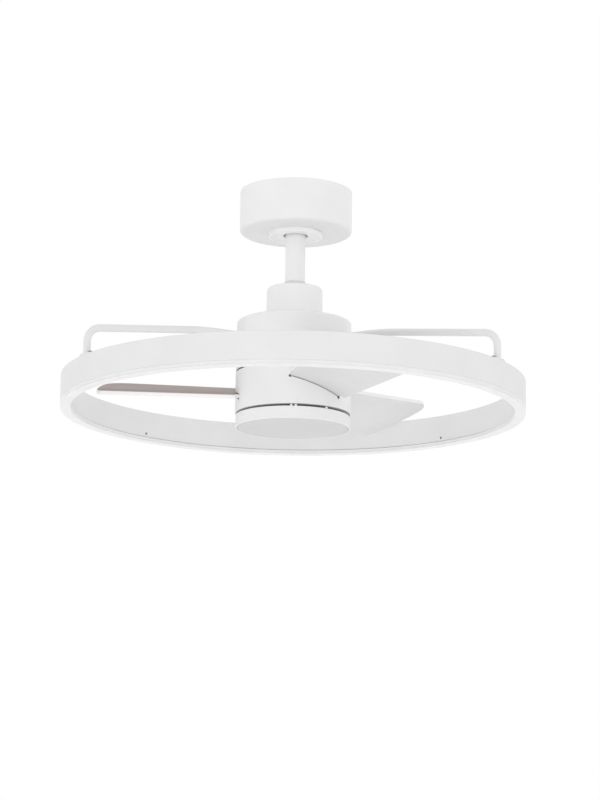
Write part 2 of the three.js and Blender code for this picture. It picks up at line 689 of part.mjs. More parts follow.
function armPlate() {
  const bore = SHAFT_R + GAP;
  const bossTopZ = housingTopZ - HOUSING_WALL - GAP;
  const plate = revolve([
    [bore, bossTopZ], [ARM_BOSS_R, bossTopZ], [ARM_BOSS_R, armPlateTopZ], [ARM_PLATE_R, armPlateTopZ],
    [ARM_PLATE_R, armPlateBottomZ], [ARM_BOSS_R, armPlateBottomZ], [ARM_BOSS_R, armBossBottomZ],
    [bore, armBossBottomZ],
  ], PART_SIDES);
  const saddle = box(ARM_PLATE_R - 20, ARM_PLATE_R - 2, -ARM_R - 3, ARM_R + 3, armPlateTopZ - 1, armZ - 1);
  const groove = alongX(bar(ARM_R + GAP, ARM_BOSS_R + 1, ARM_PLATE_R + 5, ARM_SIDES)).translate(0, 0, armZ);
  const saddles = around(ARM_COUNT, (angle) => turned(cut(saddle, groove), angle), ARM_AZIMUTH);
  return cut(join(plate, ...saddles), ...boltHoles(armPlateBottomZ, armPlateTopZ));
}

function armClampPlate() {
  const ring = revolve([
    [ARM_BOSS_R + GAP, armClampBottomZ], [ARM_PLATE_R, armClampBottomZ],
    [ARM_PLATE_R, armClampBottomZ + ARM_CLAMP_T], [ARM_BOSS_R + GAP, armClampBottomZ + ARM_CLAMP_T],
  ], PART_SIDES);
  return cut(ring, ...boltHoles(armClampBottomZ, armClampBottomZ + ARM_CLAMP_T));
}

function armClampBolt(angle) {
  const headZ = armClampBottomZ + ARM_CLAMP_T + GAP;
  const bolt = hexScrew(4, 3, CLAMP_BOLT_R, headZ - armPlateBottomZ + 2).rotateX(Math.PI);
  return turned(shifted(bolt, clampBoltCircleR, 0, headZ), angle);
}

// The tube runs level out of the housing, falls a little and bends down onto the ring.
function ringArm(angle) {
  const footBottomZ = ringTopZ + GAP;
  const cornerZ = armZ - (ringMidR - ARM_KNEE_R) * Math.tan(rad(ARM_FALL));
  const place = (r, z) => new THREE.Vector3(r, 0, z);
  const route = new BentRoute(
    [
      place(ARM_START_R, armZ), place(ARM_KNEE_R, armZ),
      place(ringMidR, cornerZ), place(ringMidR, footBottomZ + FOOT_T / 2),
    ],
    [ARM_KNEE_BEND_R, ARM_BEND_R], [1, 4],
  );
  const foot = slab(
    rounded(FOOT_WIDTH, FOOT_LENGTH, 2, ringMidR), footBottomZ, footBottomZ + FOOT_T,
    [circle((ARM_R + ARM_BORE_R) / 2, TINY_SIDES, ringMidR)],
  );
  return turned(join(tube(route, ARM_R, ARM_SIDES, ARM_BORE_R, ARM_SIDES / 2), foot), angle);
}

function housingBase() {
  const bore = SHAFT_R + GAP;
  const bossTopZ = armBossBottomZ - GAP;
  const edgeR = HOUSING_R - HOUSING_WALL - GAP;
  const disc = revolve([
    [bore, bossTopZ], [SHAFT_R + 4.5, bossTopZ], [SHAFT_R + 4.5, baseTopZ], [edgeR, baseTopZ],
    [edgeR, baseBottomZ], [bore, baseBottomZ],
  ], SHELL_SIDES);
  const post = shifted(bar(3, baseBottomZ + BASE_T / 2, boardBottomZ - GAP, TINY_SIDES), BOARD_R - 7, 0, 0);
  return join(disc, ...around(3, (angle) => turned(post, angle), 30));
}

function controlBoard() {
  const topZ = boardBottomZ + BOARD_T;
  const board = slab(circle(BOARD_R, PART_SIDES), boardBottomZ, topZ, [circle(BOARD_HOLE_R, SMALL_SIDES)]);
  const room = armPlateBottomZ - topZ - 2;
  const sunk = topZ - BOARD_T / 2;
  const capacitor = (x, y) => shifted(bar(CAPACITOR_R, sunk, topZ + room * 0.8, TINY_SIDES), x, y, 0);
  const block = (x, y, length, width, height) => box(
    x - length / 2, x + length / 2, y - width / 2, y + width / 2, sunk, topZ + room * height,
  );
  return join(
    board,
    ...BOARD_CAPACITORS.map(([x, y]) => capacitor(x * BOARD_R, y * BOARD_R)),
    ...BOARD_BLOCKS.map(([x, y, ...size]) => block(x * BOARD_R, y * BOARD_R, ...size)),
  );
}

// ---- Ring of light ------------------------------------------------------------------------

function ringChannel() {
  const webZ = ringTopZ - RING_WALL;
  const channel = revolve([
    [RING_R, ringTopZ], [RING_R, ringBottomZ], [RING_R - RING_WALL, ringBottomZ],
    [RING_R - RING_WALL, webZ], [ringInnerR + RING_WALL, webZ], [ringInnerR + RING_WALL, ringBottomZ],
    [ringInnerR, ringBottomZ], [ringInnerR, ringTopZ],
  ], RING_SIDES);
  const hole = alongX(bar(RING_SCREW_R + GAP, ringInnerR - 2, ringInnerR + RING_WALL + 2, TINY_SIDES))
    .translate(0, 0, ringBottomZ + RING_SCREW_UP);
  return cut(channel, ...RING_SCREW_AZIMUTHS.map((angle) => turned(hole, angle)));
}

function ledStrip() {
  const topZ = ringTopZ - RING_WALL - GAP;
  const outerR = ringMidR + LED_STRIP_WIDTH / 2;
  const innerR = ringMidR - LED_STRIP_WIDTH / 2;
  return revolve([
    [innerR, topZ], [outerR, topZ], [outerR, topZ - LED_STRIP_T], [innerR, topZ - LED_STRIP_T],
  ], RING_SIDES);
}

function ringDiffuser() {
  const bottomZ = ringBottomZ - DIFFUSER_DROP;
  const lipZ = ringBottomZ - GAP;
  const clipTopZ = ringBottomZ + DIFFUSER_CLIP;
  const outer = RING_R - RING_WALL - GAP;
  const inner = ringInnerR + RING_WALL + GAP;
  return revolve([
    [RING_R - 0.2, lipZ], [RING_R - 0.2, bottomZ, 1, 1], [ringInnerR, bottomZ], [ringInnerR, lipZ],
    [inner, lipZ], [inner, clipTopZ], [outer, clipTopZ], [outer, lipZ],
  ], RING_SIDES);
}

function ringScrew(angle) {
  const flat = ringInnerR * (1 - Math.cos(Math.PI / RING_SIDES));
  const screw = alongX(bar(RING_SCREW_R, ringInnerR - flat + 0.1, ringInnerR - flat + RING_WALL, TINY_SIDES));
  return turned(screw.translate(0, 0, ringBottomZ + RING_SCREW_UP), angle);
}

// ---- Motor --------------------------------------------------------------------------------

function bearingRace(innerR, outerR, topZ, grooveOutside) {
  const bottomZ = topZ - BEARING_WIDTH;
  const midZ = (topZ + bottomZ) / 2;
  const depth = BEARING_RACE_T * 0.35;
  const half = BEARING_WIDTH * 0.22;
  const grooveR = grooveOutside ? outerR - depth : innerR + depth;
  const landR = grooveOutside ? outerR : innerR;
  const groove = [[landR, midZ + half], [grooveR, midZ], [landR, midZ - half]];
  return revolve(grooveOutside
    ? [[innerR, topZ], [outerR, topZ], ...groove, [outerR, bottomZ], [innerR, bottomZ]]
    : [[outerR, topZ], [innerR, topZ], ...groove, [innerR, bottomZ], [outerR, bottomZ]], SMALL_SIDES);
}

const innerRace = (topZ) => bearingRace(SHAFT_R + GAP, SHAFT_R + GAP + BEARING_RACE_T, topZ, true);
const outerRace = (topZ) => bearingRace(BEARING_R - BEARING_RACE_T, BEARING_R, topZ, false);

// The balls sit in their cage, which keeps them apart as they roll.
function caged(topZ) {
  const midZ = topZ - BEARING_WIDTH / 2;
  const innerLand = SHAFT_R + GAP + BEARING_RACE_T;
  const outerLand = BEARING_R - BEARING_RACE_T;
  const pitchR = (innerLand + outerLand) / 2;
  const ballR = (outerLand - innerLand) / 2 - GAP * 0.4;
  const cage = revolve([
    [pitchR - 0.7, midZ - 1.2], [pitchR + 0.7, midZ - 1.2],
    [pitchR + 0.7, midZ + 1.2], [pitchR - 0.7, midZ + 1.2],
  ], SMALL_SIDES);
  const ball = closed(new THREE.SphereGeometry(ballR, 5, 3).rotateX(Math.PI / 2)).translate(pitchR, 0, midZ);
  return join(cage, ...around(BALL_COUNT, (angle) => turned(ball, angle)));
}

// A tooth's outline, from its root on the yoke to its shoe and back.
function toothOutline(angle) {
  const half = TOOTH_WIDTH / 2;
  const shoeHalf = (STATOR_R * Math.PI / TOOTH_COUNT) - 1.6;
  const shoeR = STATOR_R - SHOE_T;
  const points = [
    [Math.sqrt(STATOR_YOKE_R ** 2 - half ** 2), -half], [shoeR - 1, -half],
    [Math.sqrt((shoeR + 1) ** 2 - shoeHalf ** 2), -shoeHalf],
    [Math.sqrt(STATOR_R ** 2 - shoeHalf ** 2), -shoeHalf],
    [STATOR_R, 0], [Math.sqrt(STATOR_R ** 2 - shoeHalf ** 2), shoeHalf],
    [Math.sqrt((shoeR + 1) ** 2 - shoeHalf ** 2), shoeHalf], [shoeR - 1, half],
    [Math.sqrt(STATOR_YOKE_R ** 2 - half ** 2), half],
  ];
  const origin = new THREE.Vector2();
  return points.map(([x, y]) => new THREE.Vector2(x, y).rotateAround(origin, rad(angle)).toArray());
}

const statorCore = () => slab(
  around(TOOTH_COUNT, toothOutline).flat(), coreBottomZ, coreTopZ, [circle(SHAFT_R + GAP, SMALL_SIDES)],
);

// Each coil goes round its tooth, and a ring above the core joins their formers.
function statorWindings() {
  const startR = STATOR_YOKE_R + 4;
  const endR = STATOR_R - SHOE_T - 1.6;
  const pitch = Math.tan(Math.PI / TOOTH_COUNT);
  const width = (r) => Math.min(r * pitch - 0.5, TOOTH_WIDTH / 2 + 5);
  const coil = slab([
    [startR, -width(startR)], [endR, -width(endR)], [endR, width(endR)], [startR, width(startR)],
  ], coilBottomZ, coilTopZ);
  const half = TOOTH_WIDTH / 2 + GAP;
  const window = box(startR - 5, endR + 5, -half, half, coreBottomZ - GAP, coreTopZ + GAP);
  const ring = revolve([
    [startR - 3, coreTopZ + GAP], [startR + 3, coreTopZ + GAP],
    [startR + 3, coilTopZ], [startR - 3, coilTopZ],
  ], SMALL_SIDES);
  const coils = around(TOOTH_COUNT, (angle) => turned(cut(coil, window), angle));
  return join(...coils, ring);
}

function magnetRing() {
  const outerR = magnetInnerR + MAGNET_T;
  const inner = around(POLE_COUNT, (angle) => {
    const at = (r, degrees) => [r * Math.cos(rad(degrees)), r * Math.sin(rad(degrees))];
    const pole = 360 / POLE_COUNT;
    return [at(magnetInnerR + 0.8, angle), at(magnetInnerR, angle + pole * 0.08),
      at(magnetInnerR, angle + pole * 0.5), at(magnetInnerR, angle + pole * 0.92)];
  }).flat();
  return slab(circle(outerR, CAN_SIDES), coreBottomZ - 1, coreTopZ + 1, [inner]);
}

function rotorCan() {
  const bossR = bearingBossR + BEARING_BOSS_T;
  const shell = revolve([
    [HUB_HOLE_R, canFloorTopZ], [canInnerR, canFloorTopZ],
    [canInnerR, lidBottomZ - GAP], [canR, lidBottomZ - GAP],
    [canR, canFloorBottomZ], [bossR, canFloorBottomZ], [bossR, lowerBearingBottomZ],
    [bearingBossR, lowerBearingBottomZ], [bearingBossR, canFloorBottomZ], [HUB_HOLE_R, canFloorBottomZ],
  ], CAN_SIDES);
  const post = shifted(bar(4, lowerBearingBottomZ, canFloorBottomZ + CAN_FLOOR_T / 2, 6), canR - 9, 0, 0);
  return join(shell, ...around(BLADE_COUNT, (angle) => turned(post, angle), BLADE_AZIMUTH + 60));
}

// ---- Turning drum and blades --------------------------------------------------------------

// Blade coordinates: X out along the blade, Y across it, Z through it. The blade is turned about
// its own X axis by the pitch, so its leading side is the higher one, and then swung into place.
const placed = (geometry, angle) => geometry.clone().rotateX(-rad(BLADE_PITCH)).rotateZ(rad(angle))
  .translate(0, 0, bladeZ);

function hubShell() {
  const shell = revolve([
    [HUB_R, hubTopZ], [HUB_R, hubBottomZ, 1.5, 2], [HUB_HOLE_R, hubBottomZ], [HUB_HOLE_R, hubFloorTopZ],
    [hubInnerR, hubFloorTopZ], [hubInnerR, hubTopZ],
  ], SHELL_SIDES);
  const reach = BLADE_T / 2 + SLOT_FACE_GAP;
  const ends = [TONGUE_LEAD - SLOT_SIDE_GAP, TONGUE_TRAIL + SLOT_SIDE_GAP];
  const slot = box(HUB_R * 0.5, HUB_R + 8, ...ends, -reach, reach);
  const holes = ends.map((y) => (
    alongX(bar(SLOT_CORNER_HOLE_R, HUB_R * 0.5, HUB_R + 8, TINY_SIDES))
      .translate(0, y, -BLADE_T / 2 - SLOT_FACE_GAP / 2)
  ));
  const opening = join(slot, ...holes);
  return cut(shell, ...around(BLADE_COUNT, (angle) => placed(opening, angle), BLADE_AZIMUTH));
}

function hubLid() {
  const bossR = bearingBossR + BEARING_BOSS_T;
  const edgeR = hubInnerR - 2 * GAP;
  return revolve([
    [HUB_HOLE_R, lidTopZ], [edgeR, lidTopZ], [edgeR, lidBottomZ], [bossR, lidBottomZ],
    [bossR, upperBearingBottomZ], [bearingBossR, upperBearingBottomZ], [bearingBossR, lidBottomZ],
    [HUB_HOLE_R, lidBottomZ],
  ], SHELL_SIDES);
}

// Height of a straight blade edge at a distance out from the fan's axis.
function edgeAt({ root, tip }, x) {
  const slope = (tip - root) / (BLADE_STATIONS.tip - BLADE_STATIONS.root);
  return root + slope * (x - BLADE_STATIONS.root);
}

// The arc that rounds a tip corner: it touches a straight edge and the circle the tip sweeps.
function tipCorner(edge, radius, inward, steps) {
  const start = new THREE.Vector2(0, edgeAt(edge, 0));
  const along = new THREE.Vector2(1, edgeAt(edge, 1) - edgeAt(edge, 0)).normalize();
  const normal = new THREE.Vector2(-along.y, along.x).multiplyScalar(inward);
  const base = start.addScaledVector(normal, radius);
  const b = base.dot(along);
  const travel = -b + Math.sqrt(b * b - base.lengthSq() + (BLADE_SWEEP_R - radius) ** 2);
  const centre = base.addScaledVector(along, travel);
  const onEdge = normal.multiplyScalar(-1).angle();
  let onTip = centre.angle();
  if (onTip - onEdge > Math.PI) onTip -= 2 * Math.PI;
  if (onEdge - onTip > Math.PI) onTip += 2 * Math.PI;
  return Array.from({ length: steps + 1 }, (_, k) => {
    const angle = onEdge + ((onTip - onEdge) * k) / steps;
    return [centre.x + radius * Math.cos(angle), centre.y + radius * Math.sin(angle)];
  });
}

function bladeOutline() {
  const shoulderR = HUB_R + BLADE_SHOULDER_GAP;
  const shoulder = (y) => Math.sqrt(shoulderR ** 2 - y ** 2);
  const trailX = shoulder(TONGUE_TRAIL);
  const leadX = shoulder(TONGUE_LEAD);
  const lead = tipCorner(BLADE_LEAD, BLADE_LEAD_CORNER_R, 1, 6);
  const trail = tipCorner(BLADE_TRAIL, BLADE_TRAIL_CORNER_R, -1, 3).reverse();
  const from = Math.atan2(lead.at(-1)[1], lead.at(-1)[0]);
  const to = Math.atan2(trail[0][1], trail[0][0]);
  const arc = (radius, start, end, steps) => Array.from({ length: steps - 1 }, (_, k) => {
    const angle = start + ((end - start) * (k + 1)) / steps;
    return [radius * Math.cos(angle), radius * Math.sin(angle)];
  });
  const level = Math.cos(rad(BLADE_PITCH));
  const tongueEnd = Array.from({ length: 5 }, (_, k) => {
    const y = TONGUE_TRAIL + ((TONGUE_LEAD - TONGUE_TRAIL) * k) / 4;
    return [Math.sqrt(tongueEndR ** 2 - (y * level) ** 2), y];
  });
  return [
    [leadX, TONGUE_LEAD], [leadX, edgeAt(BLADE_LEAD, leadX), 6, 2], ...lead,
    ...arc(BLADE_SWEEP_R, from, to, 5), ...trail, [trailX, edgeAt(BLADE_TRAIL, trailX), 7, 2],
    [trailX, TONGUE_TRAIL], ...tongueEnd,
  ];
}

const blade = (angle) => placed(slab(bladeOutline(), -BLADE_T / 2, BLADE_T / 2, [], BLADE_EDGE), angle);

// A curved flange against the motor can carries a pad under the blade's tongue.
function bladeClamp(angle) {
  const ringBetween = (innerR, outerR) => revolve([
    [innerR, hubFloorTopZ + RUN_GAP], [outerR, hubFloorTopZ + RUN_GAP], [outerR, lidBottomZ - RUN_GAP],
    [innerR, lidBottomZ - RUN_GAP],
  ], CAN_SIDES);
  const underside = -BLADE_T / 2 - GAP;
  const [from, to] = [TONGUE_LEAD + CLAMP_INSET, TONGUE_TRAIL - CLAMP_INSET];
  const slice = (z0, z1) => placed(box(20, HUB_R * 1.1, from, to, z0, z1), angle);
  const pad = common(ringBetween(canR + GAP, hubInnerR - 2 * GAP), slice(underside - CLAMP_T, underside));
  const flange = common(
    ringBetween(canR + GAP, canR + GAP + CLAMP_FLANGE_T), slice(-CLAMP_FLANGE_DOWN, CLAMP_FLANGE_UP),
  );
  return join(pad, flange);
}

// ---- Lamp ---------------------------------------------------------------------------------

const lampInnerR = LAMP_R - LAMP_WALL;
const lampFloorZ = lampTopZ - LAMP_WALL;

const lampPan = () => revolve([
  [SHAFT_R + GAP, lampTopZ], [LAMP_R, lampTopZ], [LAMP_R, lampBottomZ], [lampInnerR, lampBottomZ],
  [lampInnerR, lampFloorZ], [SHAFT_R + GAP, lampFloorZ],
], SHELL_SIDES);

function ledBoard() {
  const topZ = lampFloorZ - GAP;
  const bottomZ = topZ - BOARD_T;
  const board = slab(circle(LED_BOARD_R, PART_SIDES), bottomZ, topZ, [circle(NUT_R + 1.5, SMALL_SIDES)]);
  const led = box(LED_BOARD_R * 0.72 - 2, LED_BOARD_R * 0.72 + 2, -2, 2, bottomZ - 0.8, topZ - BOARD_T / 2);
  return join(board, ...around(LED_COUNT, (angle) => turned(led, angle)));
}

function lampLens() {
  const faceZ = lampBottomZ + LENS_RECESS;
  const edgeR = lampInnerR - GAP;
  const wallR = edgeR - LENS_T * 0.75;
  return revolve([
    [0, faceZ], [edgeR, faceZ, 0.8, 1], [edgeR, faceZ + LENS_SKIRT], [wallR, faceZ + LENS_SKIRT],
    [wallR, faceZ + LENS_T], [0, faceZ + LENS_T],
  ], SHELL_SIDES);
}

const shaftNut = () => slab(
  circle(NUT_R, 6), lampFloorZ - GAP - NUT_T, lampFloorZ - GAP, [circle(SHAFT_R + GAP, SMALL_SIDES)],
);

// ---- The assembly -------------------------------------------------------------------------

const FINISHES = {
  whiteMetal: { color: 0xefefee, roughness: 0.5, metalness: 0 },
  whitePlastic: { color: 0xeaeaea, roughness: 0.45, metalness: 0 },
  opal: { color: 0xf4f4f2, roughness: 0.4, metalness: 0 },
  lensOpal: { color: 0xdadada, roughness: 0.35, metalness: 0 },
  blade: { color: 0xe6e6e6, roughness: 0.55, metalness: 0 },
  steel: { color: 0xb9bcc0, roughness: 0.4, metalness: 0.9 },
  aluminium: { color: 0xc8cacc, roughness: 0.45, metalness: 0.9 },
  castIron: { color: 0x6b6d70, roughness: 0.6, metalness: 0.7 },
  laminations: { color: 0x4d5054, roughness: 0.5, metalness: 0.8 },
  copper: { color: 0xb06a3b, roughness: 0.35, metalness: 0.9 },
  magnet: { color: 0x3b3d40, roughness: 0.5, metalness: 0.6 },
  nylon: { color: 0xe9e4d6, roughness: 0.6, metalness: 0 },
  blackPlastic: { color: 0x26272a, roughness: 0.5, metalness: 0 },
  circuitBoard: { color: 0x2f6b45, roughness: 0.5, metalness: 0 },
  whiteBoard: { color: 0xf2f2ea, roughness: 0.5, metalness: 0 },
};

const fan = new THREE.Group();
const ceilingMount = new THREE.Group();
const hangingFrame = new THREE.Group();
const rotor = new THREE.Group();
fan.add(ceilingMount, hangingFrame, rotor);

function piece(parent, name, finish, geometry) {
  const flat = geometry.toNonIndexed();
  flat.computeVertexNormals();
  const mesh = new THREE.Mesh(flat, new THREE.MeshStandardMaterial(FINISHES[finish]));
  mesh.name = name;
  parent.add(mesh);
  return mesh;
}

// Pieces under the ceiling
piece(ceilingMount, 'ceiling_bracket', 'steel', ceilingBracket());
piece(ceilingMount, 'canopy_shell', 'whiteMetal', canopyShell());
piece(ceilingMount, 'canopy_trim_ring', 'whitePlastic', canopyTrimRing());
[-1, 1].forEach((side, index) => {
  const screw = piece(ceilingMount, `canopy_screw_${index + 1}`, 'steel', canopyScrew());
  screw.position.set(0, side * CANOPY_SCREW_CIRCLE_R, canopyBottomZ - GAP);
});
piece(ceilingMount, 'receiver_box', 'blackPlastic', receiverBox());
piece(ceilingMount, 'terminal_block', 'nylon', terminalBlock());
piece(ceilingMount, 'ball_seat', 'nylon', ballSeat());

// Pieces that hang on the ball
piece(hangingFrame, 'hanger_ball', 'whitePlastic', hangerBall());
piece(hangingFrame, 'ball_cross_pin', 'steel', ballCrossPin());
piece(hangingFrame, 'downrod', 'whiteMetal', downrod());
piece(hangingFrame, 'shaft_yoke', 'castIron', shaftYoke());
piece(hangingFrame, 'clevis_pin', 'steel', clevisPin());
piece(hangingFrame, 'cotter_pin', 'steel', cotterPin());
[1, -1].forEach((side, index) => piece(hangingFrame, `yoke_set_screw_${index + 1}`, 'steel', setScrew(side)));
piece(hangingFrame, 'coupling_cover', 'whiteMetal', couplingCover());
piece(hangingFrame, 'motor_shaft', 'steel', motorShaft());
piece(hangingFrame, 'upper_housing', 'whiteMetal', upperHousing());
piece(hangingFrame, 'arm_plate', 'steel', armPlate());
piece(hangingFrame, 'arm_clamp_plate', 'steel', armClampPlate());
around(ARM_COUNT, (angle, k) => {
  piece(hangingFrame, `arm_clamp_bolt_${k + 1}`, 'steel', armClampBolt(angle + 180 / ARM_COUNT));
  piece(hangingFrame, `ring_arm_${k + 1}`, 'whiteMetal', ringArm(angle));
}, ARM_AZIMUTH);
piece(hangingFrame, 'housing_base', 'steel', housingBase());
piece(hangingFrame, 'control_board', 'circuitBoard', controlBoard());
piece(hangingFrame, 'ring_channel', 'whiteMetal', ringChannel());
piece(hangingFrame, 'led_strip', 'whiteBoard', ledStrip());
piece(hangingFrame, 'ring_diffuser', 'opal', ringDiffuser());
RING_SCREW_AZIMUTHS.forEach((angle, k) => (
  piece(hangingFrame, `ring_screw_${k + 1}`, 'steel', ringScrew(angle))
));
piece(hangingFrame, 'stator_core', 'laminations', statorCore());
piece(hangingFrame, 'stator_windings', 'copper', statorWindings());
piece(hangingFrame, 'upper_inner_race', 'steel', innerRace(upperBearingTopZ));
piece(hangingFrame, 'lower_inner_race', 'steel', innerRace(lowerBearingTopZ));
piece(hangingFrame, 'lamp_pan', 'whiteMetal', lampPan());
piece(hangingFrame, 'led_board', 'whiteBoard', ledBoard());
piece(hangingFrame, 'lamp_lens', 'lensOpal', lampLens());
piece(hangingFrame, 'shaft_nut', 'steel', shaftNut());

// Pieces that turn
piece(rotor, 'hub_shell', 'whiteMetal', hubShell());
piece(rotor, 'hub_lid', 'aluminium', hubLid());
piece(rotor, 'rotor_can', 'aluminium', rotorCan());
piece(rotor, 'magnet_ring', 'magnet', magnetRing());
piece(rotor, 'upper_outer_race', 'steel', outerRace(upperBearingTopZ));
piece(rotor, 'lower_outer_race', 'steel', outerRace(lowerBearingTopZ));
piece(rotor, 'upper_bearing_balls', 'steel', caged(upperBearingTopZ));
piece(rotor, 'lower_bearing_balls', 'steel', caged(lowerBearingTopZ));
around(BLADE_COUNT, (angle, k) => {
  piece(rotor, `blade_${k + 1}`, 'blade', blade(angle));
  piece(rotor, `blade_clamp_${k + 1}`, 'aluminium', bladeClamp(angle));
}, BLADE_AZIMUTH);

export default fan;
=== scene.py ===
# %% [markdown]
# # A ceiling fan that turns inside a ring of light
# The fan hangs from the ceiling on a ball, a downrod and a still housing. Three pitched blades turn on
# a drum below the housing, and a ring of light, carried by three bent tubes, stands still round them.
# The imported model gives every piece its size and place. This file gives the pieces their fine shapes,
# their finishes and their light. Where the photograph shows a face a millimetre or so away from the
# packed one, the fine shape follows the photograph.

import json
import math
import bmesh
import bpy
from mathutils import Matrix, Vector


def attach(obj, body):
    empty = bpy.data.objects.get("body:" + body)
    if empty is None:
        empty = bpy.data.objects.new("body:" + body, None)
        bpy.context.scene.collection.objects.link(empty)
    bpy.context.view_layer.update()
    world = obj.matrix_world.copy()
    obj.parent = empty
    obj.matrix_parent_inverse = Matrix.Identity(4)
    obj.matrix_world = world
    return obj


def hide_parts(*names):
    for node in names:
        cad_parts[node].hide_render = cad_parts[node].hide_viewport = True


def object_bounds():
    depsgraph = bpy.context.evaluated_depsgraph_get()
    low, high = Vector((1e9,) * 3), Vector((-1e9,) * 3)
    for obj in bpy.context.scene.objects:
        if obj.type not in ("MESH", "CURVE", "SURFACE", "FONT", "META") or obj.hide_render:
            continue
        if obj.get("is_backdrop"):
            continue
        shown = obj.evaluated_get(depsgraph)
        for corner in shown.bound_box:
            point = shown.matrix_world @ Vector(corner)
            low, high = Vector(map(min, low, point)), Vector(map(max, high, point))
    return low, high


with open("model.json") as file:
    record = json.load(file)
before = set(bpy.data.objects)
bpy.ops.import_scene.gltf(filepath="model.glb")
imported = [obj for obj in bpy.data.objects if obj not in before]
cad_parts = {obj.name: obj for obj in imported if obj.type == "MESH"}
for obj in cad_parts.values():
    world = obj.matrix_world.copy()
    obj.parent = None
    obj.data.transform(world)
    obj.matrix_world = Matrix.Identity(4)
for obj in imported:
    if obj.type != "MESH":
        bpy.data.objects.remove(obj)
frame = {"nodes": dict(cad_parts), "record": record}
cad_box = [list(corner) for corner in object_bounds()]
print("nodes:", len(frame["nodes"]))

# %% Helper for new objects
def in_scene(name, data):
    """A new object in the scene, from a mesh, a lamp's data or a camera's."""
    thing = bpy.data.objects.new(name, data)
    bpy.context.scene.collection.objects.link(thing)
    return thing


# %% [markdown]
# ## Camera
# The photograph looks up at the fan from well below it and from far away, so a long lens a little over
# three metres off gives the same flat perspective. The place, the tilt and the focal length came from
# matching the round edges of canopy, housing, ring and lamp to the ellipses that they make in the picture.
# The real fan hangs a little out of plumb there, and a slight roll of the camera stands for that.

# %% Camera at the photograph's viewing angle
IMAGE_HEIGHT = 800
SENSOR_HEIGHT = 36
FOCAL_PIXELS = 2608.23
RING_BOTTOM_Z = -290.5
CAMERA_DISTANCE = 3303.4
CAMERA_BELOW_RING = -663.89
CAMERA_SIDE = 52.2
CAMERA_UP = math.radians(11.57)
CAMERA_YAW = math.radians(-0.75)
CAMERA_ROLL = math.radians(0.87)

camera_data = bpy.data.cameras.new("camera")
camera_data.lens = SENSOR_HEIGHT * FOCAL_PIXELS / IMAGE_HEIGHT
camera_data.sensor_width = SENSOR_HEIGHT
camera_data.clip_end = 60
camera = in_scene("camera", camera_data)
look = Vector((
    math.sin(CAMERA_YAW) * math.cos(CAMERA_UP),
    math.cos(CAMERA_YAW) * math.cos(CAMERA_UP),
    math.sin(CAMERA_UP),
))
turn = look.to_track_quat("-Z", "Y").to_matrix() @ Matrix.Rotation(CAMERA_ROLL, 3, "Z")
camera.rotation_euler = turn.to_euler()
camera.location = (
    CAMERA_SIDE / 1000, -CAMERA_DISTANCE / 1000, (RING_BOTTOM_Z + CAMERA_BELOW_RING) / 1000,
)
bpy.context.scene.camera = camera
print("camera at", [round(v, 3) for v in camera.location], "lens", round(camera_data.lens, 1))

# %% [markdown]
# ## Light
# The fan was photographed against white in soft light from all round, so its whites are nearly the same
# brightness on every side. A plain world does most of that, a little brighter at the level of the walls
# than overhead. A wide and weak lamp, low in front, lifts the upright faces. A second one above keeps the
# tops light, and the pale floor far below gives the undersides their share.

# %% Helpers for nodes and colours
def add(tree, kind, inputs=(), **settings):
    """Adds one node: settings are its own properties, inputs are values or sockets to link."""
    node = tree.nodes.new(kind)
    for name, value in settings.items():
        setattr(node, name, value)
    for name, value in dict(inputs).items():
        if isinstance(value, bpy.types.NodeSocket):
            tree.links.new(value, node.inputs[name])
        else:
            node.inputs[name].default_value = value
    return node


def linear(colour):
    """An sRGB hex colour as the linear values that Blender works in."""
    parts = [int(colour[i:i + 2], 16) / 255 for i in (1, 3, 5)]
    return [c / 12.92 if c <= 0.04045 else ((c + 0.055) / 1.055) ** 2.4 for c in parts] + [1]


def seen_directly(tree):
    """1 for what the camera sees, straight or in a gloss or through glass, and 0 for light."""
    path = add(tree, "ShaderNodeLightPath")
    gloss = add(tree, "ShaderNodeMath", {
        0: path.outputs["Is Camera Ray"], 1: path.outputs["Is Glossy Ray"],
    }, operation="MAXIMUM")
    return add(tree, "ShaderNodeMath", {
        0: gloss.outputs[0], 1: path.outputs["Is Transmission Ray"],
    }, operation="MAXIMUM").outputs[0]


# %% World: soft light from all round, and white behind the object
LIGHT_FROM_WALLS = 1.01
LIGHT_FROM_CEILING = 0.82

world = bpy.data.worlds.new("white_room")
bpy.context.scene.world = world
world.use_nodes = True
room = world.node_tree
room.nodes.clear()
direction = add(room, "ShaderNodeTexCoord").outputs["Generated"]
height = add(room, "ShaderNodeSeparateXYZ", {"Vector": direction}).outputs["Z"]
slope = add(room, "ShaderNodeMath", {0: height}, operation="ABSOLUTE").outputs[0]
light = add(room, "ShaderNodeMapRange", {
    "Value": slope, "To Min": LIGHT_FROM_WALLS, "To Max": LIGHT_FROM_CEILING,
}).outputs["Result"]
strength = add(room, "ShaderNodeMapRange", {
    "Value": seen_directly(room), "To Min": light, "To Max": 1.0,
})
backdrop = add(room, "ShaderNodeBackground", {
    "Color": linear("#FFFFFF"), "Strength": strength.outputs["Result"],
})
add(room, "ShaderNodeOutputWorld", {"Surface": backdrop.outputs[0]})
bpy.context.scene.view_settings.view_transform = "Standard"
print("world strength", LIGHT_FROM_WALLS, "to", LIGHT_FROM_CEILING)

# %% Lamps
def soft_lamp(name, place, aim, size, watts):
    """A round lamp, its size across and its places in metres."""
    data = bpy.data.lights.new(name, "AREA")
    data.shape = "DISK"
    data.size = size
    data.energy = watts
    lamp = in_scene(name, data)
    lamp.location = place
    lamp.rotation_euler = (Vector(aim) - Vector(place)).to_track_quat("-Z", "Y").to_euler()
    return lamp


